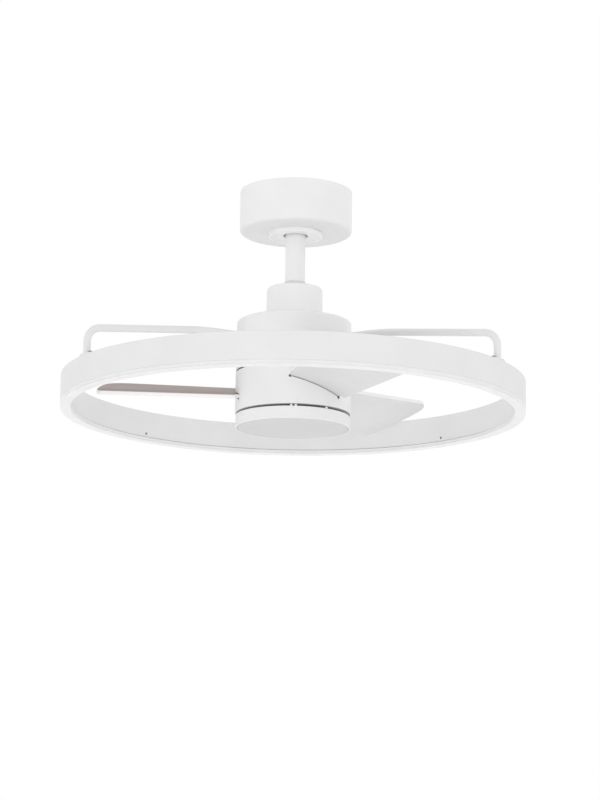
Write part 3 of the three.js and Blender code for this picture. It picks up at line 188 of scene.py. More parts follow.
soft_lamp("front_softbox", place=(-0.35, -3.4, -1.1), aim=(0, 0, -0.25), size=2.4, watts=11)
soft_lamp("top_softbox", place=(0.3, 0.6, 2.6), aim=(0, 0, -0.2), size=2.2, watts=2)
print("lamps:", [light.name for light in bpy.data.lights])

# %% [markdown]
# ## Finishes
# Nearly everything that shows is white, so the finishes differ by how they were made: metal that is
# powder coated, plastic that is moulded, opal acrylic that is extruded or moulded, and a board with a
# wood-look laminate on its upper face. Each finish is made of a base colour, a slow change of tone, and
# a fine bump, with all sizes taken from the real process and given in millimetres.

# %% Helpers for finishes
PER_MM = 1000.0  # Object coordinates are in metres, so a pattern of 1 mm needs a scale of 1000


def new_finish(name):
    """An empty material, its node tree and its Object coordinates."""
    finish = bpy.data.materials.new(name)
    finish.use_nodes = True
    tree = finish.node_tree
    tree.nodes.clear()
    return finish, tree, add(tree, "ShaderNodeTexCoord").outputs["Object"]


def grain(tree, place, size_mm, detail=2.0, rough=0.5):
    """A soft random pattern whose lumps are about size_mm across."""
    return add(tree, "ShaderNodeTexNoise", {
        "Vector": place, "Scale": PER_MM / size_mm, "Detail": detail, "Roughness": rough,
    }).outputs["Fac"]


def between(tree, value, low, high):
    """The pattern mapped from its usual spread on to two values."""
    return add(tree, "ShaderNodeMapRange", {
        "Value": value, "From Min": 0.3, "From Max": 0.7, "To Min": low, "To Max": high,
    }).outputs["Result"]


def mixed(tree, share, first, second):
    """Two colours mixed: a share of 0 gives the first and 1 the second."""
    return add(tree, "ShaderNodeMix", {0: share, 6: first, 7: second}, data_type="RGBA").outputs[2]


def two_tones(tree, value, dark, light):
    return mixed(tree, between(tree, value, 0.0, 1.0), linear(dark), linear(light))


def surfaced(finish, colour, relief, rough, depth_mm, strength, **settings):
    """Ends a finish: the relief sets roughness and bump, and settings are the shader's plain values."""
    tree = finish.node_tree
    bump = add(tree, "ShaderNodeBump", {
        "Height": relief, "Distance": depth_mm / 1000, "Strength": strength,
    })
    shader = add(tree, "ShaderNodeBsdfPrincipled", {
        "Base Color": colour, "Roughness": between(tree, relief, *rough), "Normal": bump.outputs["Normal"],
        **{name.replace("_", " "): value for name, value in settings.items()},
    })
    add(tree, "ShaderNodeOutputMaterial", {"Surface": shader.outputs[0]})
    return finish


def one_grained(name, dark, light, rough, grain_mm, depth_mm, strength, stretch=(1, 1, 1), **settings):
    """A finish whose tone and relief come from the same pattern."""
    finish, tree, place = new_finish(name)
    laid = add(tree, "ShaderNodeMapping", {"Vector": place, "Scale": stretch}).outputs[0]
    skin = grain(tree, laid, grain_mm, 3)
    tone = two_tones(tree, skin, dark, light)
    return surfaced(finish, tone, skin, rough, depth_mm, strength, **settings)


# %% Powder coat on steel and aluminium
# Polyester powder, sprayed and baked: a satin white with the faint orange peel of about 1 mm that baking
# leaves. It is drawn at 1.6 mm, because the real peel is finer than a pixel here.
def powder_coat(name, dark, light):
    finish, tree, place = new_finish(name)
    tone = two_tones(tree, grain(tree, place, 60, 3), dark, light)
    peel = grain(tree, place, 1.6, 1.5)
    return surfaced(finish, tone, peel, (0.40, 0.47), 0.012, 0.6, IOR=1.5, Specular_IOR_Level=0.3)


white_coat = powder_coat("powder_coat_white", "#EAEAEA", "#EEEEEE")
cool_white_coat = powder_coat("powder_coat_cool_white", "#E2E2E3", "#E6E6E7")
bright_white_coat = powder_coat("powder_coat_bright_white", "#EEEEEE", "#F2F2F2")

# %% Injection-moulded ABS
# White ABS from a spark-eroded mould: even in colour, a little glossier than the coat, with a grain of
# half a millimetre.
white_abs, tree, place = new_finish("moulded_abs_white")
tone = two_tones(tree, grain(tree, place, 25), "#F4F4F4", "#F8F8F8")
surfaced(white_abs, tone, grain(tree, place, 0.8, 2), (0.36, 0.44), 0.01, 0.5, IOR=1.53)

# %% Opal acrylic
# Acrylic filled with white pigment that scatters the light of the diodes behind it. Light goes a few
# millimetres in and comes out again, which softens its edges. The ring's strip is extruded, so it has
# faint lines along it. The lamp's disc is moulded and greyer, because there is less light behind it.
# Near its rim a painted shade makes it darker still, for the shade where the pan's wall turns up round it.
def painted_rim_shade(tree, place, colour, start_mm, full_mm, rim_shade_colour):
    """Between two radii the colour runs over to a painted shade, darker towards the pan's wall."""
    flat = add(tree, "ShaderNodeVectorMath", {0: place, 1: (1, 1, 0)}, operation="MULTIPLY").outputs[0]
    out = add(tree, "ShaderNodeVectorMath", {0: flat}, operation="LENGTH").outputs["Value"]
    share = add(tree, "ShaderNodeMapRange", {
        "Value": out, "From Min": start_mm / PER_MM, "From Max": full_mm / PER_MM,
    }).outputs["Result"]
    return mixed(tree, share, colour, linear(rim_shade_colour))


def opal(name, dark, light, line_axis_scale, rim=None):
    finish, tree, place = new_finish(name)
    drawn = add(tree, "ShaderNodeMapping", {"Vector": place, "Scale": line_axis_scale}).outputs[0]
    colour = two_tones(tree, grain(tree, place, 40), dark, light)
    # A painted shade darkens the disc towards its rim, where the pan's wall shades it.
    if rim:
        colour = painted_rim_shade(tree, place, colour, *rim)
    return surfaced(
        finish, colour, grain(tree, drawn, 3, 2), (0.30, 0.38), 0.006, 0.4, IOR=1.49,
        Subsurface_Weight=0.25, Subsurface_Scale=0.002, Subsurface_Radius=(1.0, 1.0, 1.0),
    )


ring_opal = opal("opal_acrylic_extruded", "#E6E6E6", "#EAEAEA", (1, 1, 3))
# The lens takes a painted shade on its rim, from 70.2 to 71.4 mm out.
lens_opal = opal("opal_acrylic_moulded", "#C4C4C4", "#C8C8C8", (1, 1, 1), (70.2, 71.4, "#B6B6B6"))

# %% Wood-look laminate and white lacquer on the blades
# The blade is a pressed board. Its top carries a printed taupe laminate with long grain, 3 to 30 mm wide
# and ten times as long. The underside is lacquered white, and so are the edges, which carry a painted
# highlight a shade brighter. Two attributes of the piece say which faces are top and which take the edge
# highlight. Its own UV map gives metres along and across the blade, so the grain follows each blade
# whichever way it points.
def blade_board():
    finish, tree, place = new_finish("blade_board_laminate_and_lacquer")
    along = add(tree, "ShaderNodeUVMap", uv_map="blade_plan").outputs[0]
    figure = add(tree, "ShaderNodeMapping", {"Vector": along, "Scale": (0.08, 1.0, 1.0)}).outputs[0]
    wide = grain(tree, figure, 26, 3)
    pores = grain(tree, figure, 2.4, 4, 0.6)
    planks = two_tones(tree, wide, "#877571", "#A89794")
    lined = mixed(tree, between(tree, pores, 0.0, 0.5), planks, linear("#7B6A66"))
    upper = add(tree, "ShaderNodeAttribute", attribute_name="laminate").outputs["Fac"]
    lacquer = two_tones(tree, grain(tree, place, 45), "#D8D8D9", "#DCDCDD")
    # The edges take a painted highlight: there the lacquer runs over to a brighter white.
    rim = add(tree, "ShaderNodeAttribute", attribute_name="edge_highlight").outputs["Fac"]
    painted = mixed(tree, rim, lacquer, linear("#F4F2F1"))
    peel = grain(tree, place, 2.2, 1.5)
    relief = add(tree, "ShaderNodeMix", {0: upper, 2: peel, 3: pores}, data_type="FLOAT").outputs[0]
    return surfaced(finish, mixed(tree, upper, painted, lined), relief, (0.42, 0.52), 0.02, 0.5, IOR=1.5)


laminate_and_lacquer = blade_board()

# %% Metals, nearly all out of sight
# Zinc-plated steel keeps a faint crystalline mottle, die-cast aluminium is greyer and rougher, and cast
# iron is darker with a sandy skin of about 1 mm. The motor's core is a stack of half-millimetre sheets.
# Only the nickel-plated screw heads show.
def metal(name, dark, light, rough, grain_mm, depth_mm, stretch=(1, 1, 1)):
    return one_grained(name, dark, light, rough, grain_mm, depth_mm, 0.7, stretch, Metallic=1.0)


zinc_plate = metal("zinc_plated_steel", "#B4B7BB", "#C6C9CC", (0.28, 0.42), 3.0, 0.01)
die_cast = metal("die_cast_aluminium", "#B9BBBD", "#C9CBCD", (0.42, 0.55), 1.2, 0.03)
sand_cast = metal("sand_cast_iron", "#5D5F62", "#727477", (0.55, 0.7), 1.0, 0.06)
core_sheets = metal("stacked_silicon_steel", "#45484C", "#66696D", (0.4, 0.55), 1.0, 0.05, (0.2, 0.2, 1.0))
copper = metal("enamelled_copper_wire", "#9A5A2E", "#C07A45", (0.25, 0.38), 0.9, 0.08, (0.3, 0.3, 1.0))
plated_screw = metal("nickel_plated_screw", "#8E9093", "#A9ABAD", (0.25, 0.4), 1.0, 0.01)

# %% Plastics, magnets and circuit boards
# Natural nylon is slightly yellow and waxy, black ABS is moulded with a fine grain, and sintered magnets
# are dark grey and matt. A glass epoxy board is green under its solder mask, and a diode board is white.
# Two light greys are painted shade: one on the ring round the rod's foot, one on the sheet under the drum.
def plain_finish(name, dark, light, rough, grain_mm, depth_mm, ior=1.5):
    return one_grained(name, dark, light, rough, grain_mm, depth_mm, 0.6, IOR=ior)


natural_nylon = plain_finish("natural_nylon", "#E3DDCD", "#EEE9DC", (0.45, 0.6), 6, 0.02, 1.53)
black_abs = plain_finish("moulded_abs_black", "#232428", "#2C2D31", (0.42, 0.52), 0.9, 0.02)
sintered_magnet = plain_finish("sintered_magnet", "#35373A", "#434548", (0.5, 0.65), 0.8, 0.03)
green_board = plain_finish("glass_epoxy_board", "#265C3B", "#33754C", (0.3, 0.42), 1.4, 0.03)
white_mask = plain_finish("white_solder_mask", "#EDEDE6", "#F4F4EE", (0.35, 0.45), 2.0, 0.01)
# Painted shade for the ring round the rod's foot above the cover.
rod_foot_shade_grey = plain_finish("rod_foot_shade_grey", "#DADADA", "#DEDEDE", (0.6, 0.7), 1.2, 0.02, 1.52)
# Painted shade for the gap under the drum, the only place where the sheet shows.
gap_shade_grey = plain_finish("painted_gap_shade_grey", "#C2C2C2", "#C8C8C8", (0.6, 0.7), 1.0, 0.02)

FINISH_OF_SLOT = {
    "white_metal": white_coat,
    "white_plastic": white_abs,
    "ring_opal": ring_opal,
    "lens_opal": lens_opal,
    "blade_board": laminate_and_lacquer,
    "zinc_steel": zinc_plate,
    "cast_aluminium": die_cast,
    "cast_iron": sand_cast,
    "laminations": core_sheets,
    "copper_windings": copper,
    "magnets": sintered_magnet,
    "nylon": natural_nylon,
    "black_plastic": black_abs,
    "circuit_board": green_board,
    "white_board": white_mask,
}
print("finishes:", len(FINISH_OF_SLOT))

# %% [markdown]
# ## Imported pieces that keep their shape
# The pieces inside, such as the bracket, the ball, the motor and the boards, already have their real
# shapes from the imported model. Each takes the finish of its material slot, so nothing is left plain.

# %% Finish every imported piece
body_of_node = {
    node: body
    for body, members in frame["record"]["behaviour"]["bodies"].items() for node in members
}
slot_of_node = {entry["node"]: entry["material_slot"] for entry in frame["record"]["subparts"]}
for node, packed in frame["nodes"].items():
    finish = FINISH_OF_SLOT[slot_of_node[node]]
    if not packed.material_slots:
        packed.data.materials.append(finish)
    for place in packed.material_slots:
        place.material = finish
print("packed pieces finished:", len(frame["nodes"]))

# %% [markdown]
# ## Turned pieces
# The canopy, its trim ring, the rod, the cover, the housing, the drum and the lamp are spun, drawn or
# moulded round one axis. Each could be a cylinder with bevels, but a real profile turned round the axis
# gives the walls, lips and rounded edges in one closed skin, so that is how they are made here. Each
# rounded corner has a short straight run beside it, which keeps the flat faces flat in the light.

# %% Profiles and turning
AROUND = 192
ARC_STEPS = 5
CORNER_SHARE = 0.45  # A rounded corner takes at most this share of the edge on either side of it
STRAIGHT_RUN = 1.15  # The straight run beside it ends at this many times the arc's reach
SMOOTH_BELOW = 32  # Degrees: what bends less is shaded smooth


def arc(centre, start, sweep, steps):
    """Points on an arc about a centre. The start is given from the centre."""
    points = []
    for k in range(steps + 1):
        angle = sweep * k / steps
        points.append(centre + Vector((
            start.x * math.cos(angle) - start.y * math.sin(angle),
            start.x * math.sin(angle) + start.y * math.cos(angle),
        )))
    return points


def rounded(corners, steps=ARC_STEPS):
    """Outline points from corners (x, y) or (x, y, radius), with the round ones turned into arcs."""
    points = []
    count = len(corners)
    for index, (x, y, *rest) in enumerate(corners):
        corner = Vector((x, y))
        if not rest:
            points.append(corner)
            continue
        before = Vector(corners[index - 1][:2]) - corner
        after = Vector(corners[(index + 1) % count][:2]) - corner
        room = CORNER_SHARE * min(before.length, after.length)
        before.normalize()
        after.normalize()
        half = before.angle(after) / 2
        radius = min(rest[0], room * math.tan(half))
        reach = radius / math.tan(half)
        centre = corner + (before + after).normalized() * (radius / math.sin(half))
        start = corner + before * reach - centre
        sweep = math.pi - 2 * half
        if before.x * after.y - before.y * after.x > 0:
            sweep = -sweep
        points.append(corner + before * reach * STRAIGHT_RUN)
        points += arc(centre, start, sweep, steps)
        points.append(corner + after * reach * STRAIGHT_RUN)
    return points


def smoothed(mesh, below=SMOOTH_BELOW):
    mesh.shade_smooth()
    mesh.set_sharp_from_angle(angle=math.radians(below))


def made_plain(piece, below=SMOOTH_BELOW):
    """The piece's mesh becomes what its modifiers make of it, and they are gone."""
    finished = piece.evaluated_get(bpy.context.evaluated_depsgraph_get())
    piece.data = bpy.data.meshes.new_from_object(finished)
    piece.modifiers.clear()
    smoothed(piece.data, below)
    return piece


def faced_out(mesh, seam=None):
    """Turns every face outwards, and closes the seams between points as near as seam metres."""
    work = bmesh.new()
    work.from_mesh(mesh)
    if seam:
        bmesh.ops.remove_doubles(work, verts=work.verts, dist=seam)
    bmesh.ops.recalc_face_normals(work, faces=work.faces)
    work.to_mesh(mesh)
    work.free()


def solid_mesh(name, points, faces, finish):
    """A closed mesh from points in millimetres, facing out, shaded smooth except at real edges."""
    mesh = bpy.data.meshes.new(name)
    mesh.from_pydata([Vector(p) / 1000 for p in points], [], faces)
    faced_out(mesh, seam=1e-7)
    smoothed(mesh)
    mesh.materials.append(finish)
    return in_scene(name, mesh)


def turned(name, corners, finish, around=AROUND):
    """A profile in radius and height turned round the fan's axis. Radius 0 closes it with a pole."""
    on_axis = 1e-6
    profile = rounded(corners)
    points, rows = [], []
    for point in profile:
        if point.x < on_axis:
            rows.append([len(points)] * around)
            points.append((0, 0, point.y))
            continue
        rows.append(range(len(points), len(points) + around))
        for k in range(around):
            angle = 2 * math.pi * k / around
            points.append((point.x * math.cos(angle), point.x * math.sin(angle), point.y))
    open_ended = profile[0].x < on_axis and profile[-1].x < on_axis
    faces = []
    for i in range(len(rows) - open_ended):
        low, high = rows[i], rows[(i + 1) % len(rows)]
        for k in range(around):
            n = (k + 1) % around
            faces.append(list(dict.fromkeys((low[k], low[n], high[n], high[k]))))
    return solid_mesh(name, points, faces, finish)


def moved(piece, matrix):
    """Moves a piece's mesh, with the shift in millimetres, and leaves its object at the origin."""
    metres = matrix.copy()
    metres.translation = metres.translation / 1000
    piece.data.transform(metres)
    return piece


def turn_about_z(degrees):
    return Matrix.Rotation(math.radians(degrees), 4, "Z")


def lowered(piece, drop):
    """Lowers each point of a piece by drop(x, y, z), all of them in millimetres."""
    for vertex in piece.data.vertices:
        vertex.co.z -= drop(*(vertex.co * 1000)) / 1000
    return piece


def dressed(piece, *nodes):
    """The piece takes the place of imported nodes: their body and their show."""
    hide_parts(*nodes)
    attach(piece, body_of_node[nodes[0]])
    print(piece.name, "->", ", ".join(nodes), len(piece.data.polygons), "faces")
    return piece


# %% [markdown]
# ### Canopy, trim ring, downrod and cover
# The canopy is a drawn steel cup, 147 mm across, flush with the ceiling and closed below by a moulded
# trim ring that snaps on over two screws. The rod passes through the ring's hole with just the room that
# it needs to swing. A second, smaller cup hides the joint between the rod and the motor's shaft.

# %% Canopy
CANOPY_R, CANOPY_RIM, CANOPY_BOTTOM, CANOPY_WALL, CANOPY_HOLE_R = 73.3, -0.5, -56.0, 1.5, 24.0
CANOPY_INNER_R, CANOPY_FLOOR = CANOPY_R - CANOPY_WALL, CANOPY_BOTTOM + CANOPY_WALL

canopy = turned("canopy_drawn_cup", [
    (CANOPY_R, CANOPY_RIM), (CANOPY_R, CANOPY_BOTTOM, 4.5), (CANOPY_HOLE_R, CANOPY_BOTTOM),
    (CANOPY_HOLE_R, CANOPY_FLOOR), (CANOPY_INNER_R, CANOPY_FLOOR, 3.0), (CANOPY_INNER_R, CANOPY_RIM),
], white_coat)
dressed(canopy, "canopy_shell")

# %% Trim ring
TRIM_R, TRIM_TOP, TRIM_BOTTOM, TRIM_WALL = 35.4, -56.02, -61.6, 1.4
DISH, DISH_R, TRIM_LIP_R = -59.6, 31.4, 32.4
TRIM_HOLE_R, COLLAR_TOP = 16.0, -55.6
TRIM_INNER_R, DISH_BACK, COLLAR_R = TRIM_R - TRIM_WALL, DISH + TRIM_WALL, TRIM_HOLE_R + TRIM_WALL
NOTCH_AZIMUTH, NOTCH_HALF, NOTCH_RAMP, NOTCH_DEPTH = -33.0, 17.0, 6.0, 0.3
RIM_BAND = 0.2


def notch(x, y, z):
    """A shallow notch in the ring's rim, for a fingernail to lever the ring off by."""
    off_middle = abs(math.degrees(math.atan2(y, x)) - NOTCH_AZIMUTH)
    on_the_rim = z > TRIM_TOP - RIM_BAND and math.hypot(x, y) > DISH_R
    if not on_the_rim or off_middle > NOTCH_HALF:
        return 0.0
    return NOTCH_DEPTH * min(1.0, (NOTCH_HALF - off_middle) / NOTCH_RAMP)


trim = turned("canopy_trim_moulding", [
    (TRIM_R, TRIM_TOP, 0.12), (TRIM_R, TRIM_BOTTOM, 1.5), (TRIM_LIP_R, TRIM_BOTTOM, 0.8),
    (DISH_R, DISH, 0.8), (TRIM_HOLE_R, DISH, 1.0), (TRIM_HOLE_R, COLLAR_TOP, 0.3),
    (COLLAR_R, COLLAR_TOP, 0.3), (COLLAR_R, DISH_BACK), (TRIM_INNER_R, DISH_BACK),
    (TRIM_INNER_R, TRIM_TOP, 0.12),
], white_abs)
dressed(lowered(trim, notch), "canopy_trim_ring")

# %% Downrod, cover and stop ring
SLIM_AROUND = 96
ROD_R, ROD_WALL, ROD_TOP, ROD_BOTTOM = 13.0, 1.6, -14.4, -161.6
ROD_BORE_R = ROD_R - ROD_WALL

rod = turned("downrod_tube", [
    (ROD_R, ROD_TOP, 0.5), (ROD_R, ROD_BOTTOM, 0.5),
    (ROD_BORE_R, ROD_BOTTOM, 0.3), (ROD_BORE_R, ROD_TOP, 0.3),
], bright_white_coat, SLIM_AROUND)
dressed(rod, "downrod")

COVER_TOP, COVER_BOTTOM, COVER_WALL = -130.0, -175.2, 1.5
COVER_TOP_R, COVER_MOUTH_R, COVER_HOLE_R = 36.0, 37.0, 13.6
COVER_CEILING = COVER_TOP - COVER_WALL

cover = turned("coupling_cover_cup", [
    (COVER_HOLE_R, COVER_TOP, 0.4), (COVER_TOP_R, COVER_TOP, 4.0), (COVER_MOUTH_R, COVER_BOTTOM, 0.4),
    (COVER_MOUTH_R - COVER_WALL, COVER_BOTTOM, 0.3), (COVER_TOP_R - COVER_WALL, COVER_CEILING, 2.5),
    (COVER_HOLE_R, COVER_CEILING, 0.3),
], bright_white_coat)
dressed(cover, "coupling_cover")

# A grey ring round the rod on top of the cover is painted shade for the rod's foot. Only its top shows.
SHADE_RING_BORE_R, SHADE_RING_R, SHADE_RING_TOP = ROD_R + 0.05, 14.0, COVER_TOP + 8.0
rod_foot_shade_ring = turned("cover_stop_ring", [
    (SHADE_RING_BORE_R, COVER_TOP), (SHADE_RING_R, COVER_TOP), (SHADE_RING_R, SHADE_RING_TOP, 0.5),
    (SHADE_RING_BORE_R, SHADE_RING_TOP, 0.2),
], rod_foot_shade_grey, SLIM_AROUND)
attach(rod_foot_shade_ring, "hanging_frame")
print("stop ring from", COVER_TOP, "to", SHADE_RING_TOP)

# %% [markdown]
# ### Housing and drum, with their openings
# Both are spun cups whose side walls are pierced: the housing for the three ring tubes, the drum for the
# blades' tongues. The openings are cut with a Boolean, as a punch would, from a turned shell that is
# already round enough to stay smooth beside the cut.

# %% Cutting
def boolean(piece, operation, tools):
    """Takes the tools' shapes out of a piece, or adds them to it, and removes the tools."""
    for tool in tools:
        step = piece.modifiers.new("step", "BOOLEAN")
        step.operation = operation
        step.solver = "EXACT"
        step.object = tool
    made_plain(piece)
    for tool in tools:
        bpy.data.objects.remove(tool)
    return piece


def swept_round(name, radius, near, far, around=32):
    """A round tool along X between two distances from the axis."""
    angles = [2 * math.pi * k / around for k in range(around)]
    points = [(x, radius * math.cos(a), radius * math.sin(a)) for x in (near, far) for a in angles]
    faces = [(k, (k + 1) % around, around + (k + 1) % around, around + k) for k in range(around)]
    faces += [tuple(range(around)), tuple(range(around, 2 * around))]
    return solid_mesh(name, points, faces, white_coat)


# %% Upper housing
HOUSING_R, HOUSING_TOP, HOUSING_BOTTOM, HOUSING_WALL, HOUSING_HOLE_R = 74.3, -175.5, -242.0, 1.8, 9.1
HOUSING_INNER_R, HOUSING_CEILING = HOUSING_R - HOUSING_WALL, HOUSING_TOP - HOUSING_WALL
ARM_AZIMUTHS = (90, 210, 330)
ARM_R, ARM_Z, ARM_HOLE_GAP = 4.7, -202.1, 0.3
DRILL_NEAR, DRILL_FAR = 66.0, 80.0

housing = turned("upper_housing_cup", [
    (HOUSING_HOLE_R, HOUSING_TOP, 0.3), (HOUSING_R, HOUSING_TOP, 3.5), (HOUSING_R, HOUSING_BOTTOM, 0.4),
    (HOUSING_INNER_R, HOUSING_BOTTOM, 0.3), (HOUSING_INNER_R, HOUSING_CEILING, 1.7),
    (HOUSING_HOLE_R, HOUSING_CEILING, 0.3),
], white_coat)
arm_holes = []
for azimuth in ARM_AZIMUTHS:
    drill = swept_round("arm_hole", ARM_R + ARM_HOLE_GAP, DRILL_NEAR, DRILL_FAR)
    arm_holes.append(moved(drill, Matrix.Translation((0, 0, ARM_Z)) @ turn_about_z(azimuth)))
boolean(housing, "DIFFERENCE", arm_holes)
dressed(housing, "upper_housing")

# %% Drum and its blade slots
HUB_R, HUB_TOP, HUB_BOTTOM, HUB_WALL, HUB_HOLE_R = 74.8, -244.5, -297.2, 2.0, 13.0
HUB_INNER_R, HUB_FLOOR = HUB_R - HUB_WALL, HUB_BOTTOM + HUB_WALL
BLADE_PITCH, BLADE_T, BLADE_Z = 17.7, 5.0, -272.2
BLADE_AZIMUTHS = (-57, 63, 183)
TONGUE_LEAD, TONGUE_TRAIL = -43.5, 25.5
SLOT_SIDE_GAP, SLOT_FACE_GAP, CORNER_HOLES_R = 0.6, 1.0, (1.8, 2.3)
TOOL_NEAR, TOOL_FAR = 40.0, 84.0


def blade_place(azimuth):
    """From a blade's own plan, X out along it and Z through it, to its place on the drum."""
    pitch = Matrix.Rotation(math.radians(-BLADE_PITCH), 4, "X")
    return Matrix.Translation((0, 0, BLADE_Z)) @ turn_about_z(azimuth) @ pitch


def block(name, low, high):
    """A box between two opposite corners."""
    points = [(x, y, z) for x in (low[0], high[0]) for y in (low[1], high[1]) for z in (low[2], high[2])]
    faces = [(0, 1, 3, 2), (4, 6, 7, 5), (0, 4, 5, 1), (2, 3, 7, 6), (0, 2, 6, 4), (1, 5, 7, 3)]
    return solid_mesh(name, points, faces, white_coat)


hub = turned("drum_cup", [
    (HUB_R, HUB_TOP, 0.5), (HUB_R, HUB_BOTTOM, 0.7), (HUB_HOLE_R, HUB_BOTTOM, 0.4),
    (HUB_HOLE_R, HUB_FLOOR, 0.3), (HUB_INNER_R, HUB_FLOOR, 0.5), (HUB_INNER_R, HUB_TOP, 0.4),
], white_coat)
SLOT_REACH = BLADE_T / 2 + SLOT_FACE_GAP
SLOT_ENDS = (TONGUE_LEAD - SLOT_SIDE_GAP, TONGUE_TRAIL + SLOT_SIDE_GAP)
openings = []
for azimuth in BLADE_AZIMUTHS:
    slot = block("slot", (TOOL_NEAR, SLOT_ENDS[0], -SLOT_REACH), (TOOL_FAR, SLOT_ENDS[1], SLOT_REACH))
    openings.append(moved(slot, blade_place(azimuth)))
    for end, radius in zip(SLOT_ENDS, CORNER_HOLES_R):
        drilled = swept_round("corner_hole", radius, TOOL_NEAR, TOOL_FAR)
        lower_corner = Matrix.Translation((0, end, -(BLADE_T + SLOT_FACE_GAP) / 2))
        openings.append(moved(moved(drilled, lower_corner), blade_place(azimuth)))
boolean(hub, "DIFFERENCE", openings)
dressed(hub, "hub_shell")

# %% Sheet under the drum
# A thin grey sheet against the drum's underside is painted shade for the gap below it, where alone it
# shows.
SHEET_TOP, SHEET_BOTTOM = HUB_BOTTOM - 0.02, HUB_BOTTOM - 0.32
SHEET_R, SHEET_HOLE_R = HUB_R - 0.8, HUB_HOLE_R + 1.0
sheet = turned("drum_underside_sheet", [
    (SHEET_R, SHEET_TOP), (SHEET_R, SHEET_BOTTOM), (SHEET_HOLE_R, SHEET_BOTTOM), (SHEET_HOLE_R, SHEET_TOP),
], gap_shade_grey)
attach(sheet, body_of_node["hub_shell"])
print("sheet under the drum at", SHEET_TOP)

# %% [markdown]
# ### Lamp
# The lamp hangs on the end of the shaft, which stands still inside the turning drum, so there is a gap of
# 3.1 mm between them, a little more on the right, where the pan's top slopes down. It is a shallow drawn
# pan with a moulded opal lens pressed inside its rim. Short tabs bent up from the pan's top show as light
# marks in the dark gap, and end below the sheet under the drum.

# %% Lamp pan
LAMP_R, LAMP_TOP, LAMP_BOTTOM, LAMP_WALL, LAMP_HOLE_R = 73.9, -300.3, -316.2, 1.6, 8.8
LAMP_INNER_R, LAMP_CEILING = LAMP_R - LAMP_WALL, LAMP_TOP - LAMP_WALL
TAB_AZIMUTHS = (269.1, 273.7, 306.6)
TAB_NEAR, TAB_FAR, TAB_WIDTH, TAB_ROOT, TAB_HEIGHT = 70.0, 73.2, 2.8, 0.5, 2.2
TOP_SLOPE, SLOPING_BAND = math.tan(math.radians(0.3)), 2.5


def out_of_square(x, y, z):
    """The pan's top, with its tabs, slopes down towards the right."""
    return TOP_SLOPE * x if z > LAMP_TOP - SLOPING_BAND else 0.0


pan = turned("lamp_pan_drawn", [
    (LAMP_HOLE_R, LAMP_TOP, 0.3), (LAMP_R, LAMP_TOP, 0.6), (LAMP_R, LAMP_BOTTOM, 0.5),
    (LAMP_INNER_R, LAMP_BOTTOM, 0.4), (LAMP_INNER_R, LAMP_CEILING, 0.4), (LAMP_HOLE_R, LAMP_CEILING, 0.3),
], white_coat)
tabs = []
for azimuth in TAB_AZIMUTHS:
    for third in (0, 120, 240):
        low = (TAB_NEAR, -TAB_WIDTH / 2, LAMP_TOP - TAB_ROOT)
        tab = block("tab", low, (TAB_FAR, TAB_WIDTH / 2, LAMP_TOP + TAB_HEIGHT))
        tabs.append(moved(tab, turn_about_z(azimuth + third)))
boolean(pan, "UNION", tabs)
dressed(lowered(pan, out_of_square), "lamp_pan")

# %% Lens
LENS_R, LENS_FACE, LENS_WALL, LENS_SHEET, LENS_DEPTH = 72.0, -316.0, 1.5, 2.0, 8.0
LENS_INNER_R, LENS_TOP, LENS_BACK = LENS_R - LENS_WALL, LENS_FACE + LENS_DEPTH, LENS_FACE + LENS_SHEET

lens = turned("lamp_lens_moulded", [
    (0, LENS_FACE), (LENS_R, LENS_FACE, 0.9), (LENS_R, LENS_TOP, 0.3), (LENS_INNER_R, LENS_TOP, 0.3),
    (LENS_INNER_R, LENS_BACK, 0.6), (0, LENS_BACK),
], lens_opal)
dressed(lens, "lamp_lens")

# %% [markdown]
# ## Ring of light
# The ring is one rule all the way round: a channel section of folded and rolled aluminium, and an opal
# strip that clips into it. Sweeping a section along a circle with Geometry Nodes says just that, and the
# section and the radius stay open to change. The same tree makes both pieces.

# %% Helpers for Geometry Nodes trees
def new_tree(name, sizes, things=()):
    """A Geometry Nodes tree with inputs for named numbers, named objects and a material."""
    tree = bpy.data.node_groups.new(name, "GeometryNodeTree")
    tree.interface.new_socket("Geometry", in_out="INPUT", socket_type="NodeSocketGeometry")
    tree.interface.new_socket("Geometry", in_out="OUTPUT", socket_type="NodeSocketGeometry")
    for label, default in sizes.items():
        kind = "NodeSocketInt" if isinstance(default, int) else "NodeSocketFloat"
        tree.interface.new_socket(label, in_out="INPUT", socket_type=kind).default_value = default
    for label in things:
        tree.interface.new_socket(label, in_out="INPUT", socket_type="NodeSocketObject")
    tree.interface.new_socket("Finish", in_out="INPUT", socket_type="NodeSocketMaterial")
    return tree, tree.nodes.new("NodeGroupInput").outputs


def end_tree(tree, given, geometry):
    """Every tree ends in plain geometry with its finish."""
    plain = add(tree, "GeometryNodeRealizeInstances", {"Geometry": geometry}).outputs[0]
    finished = add(tree, "GeometryNodeSetMaterial", {"Geometry": plain, "Material": given["Finish"]})
    add(tree, "NodeGroupOutput", {0: finished.outputs[0]})


def grown(name, tree, finish, base=None, smooth_below=SMOOTH_BELOW, **inputs):
    """Runs a tree on a base mesh and keeps the result. An input left out keeps the tree's own value."""
    carrier = in_scene(name, base or bpy.data.meshes.new(name))
    grower = carrier.modifiers.new("grow", "NODES")
    grower.node_group = tree
    inputs["Finish"] = finish
    for item in tree.interface.items_tree:
        if item.in_out == "INPUT" and item.name in inputs:
            grower[item.identifier] = inputs[item.name]
    return made_plain(carrier, smooth_below)


# %% A tree that sweeps a section round a circle
RING_R, RING_WIDTH, RING_STEPS = 300.0, 12.0, 288
RING_MID_R, RING_INNER_R = RING_R - RING_WIDTH / 2, RING_R - RING_WIDTH

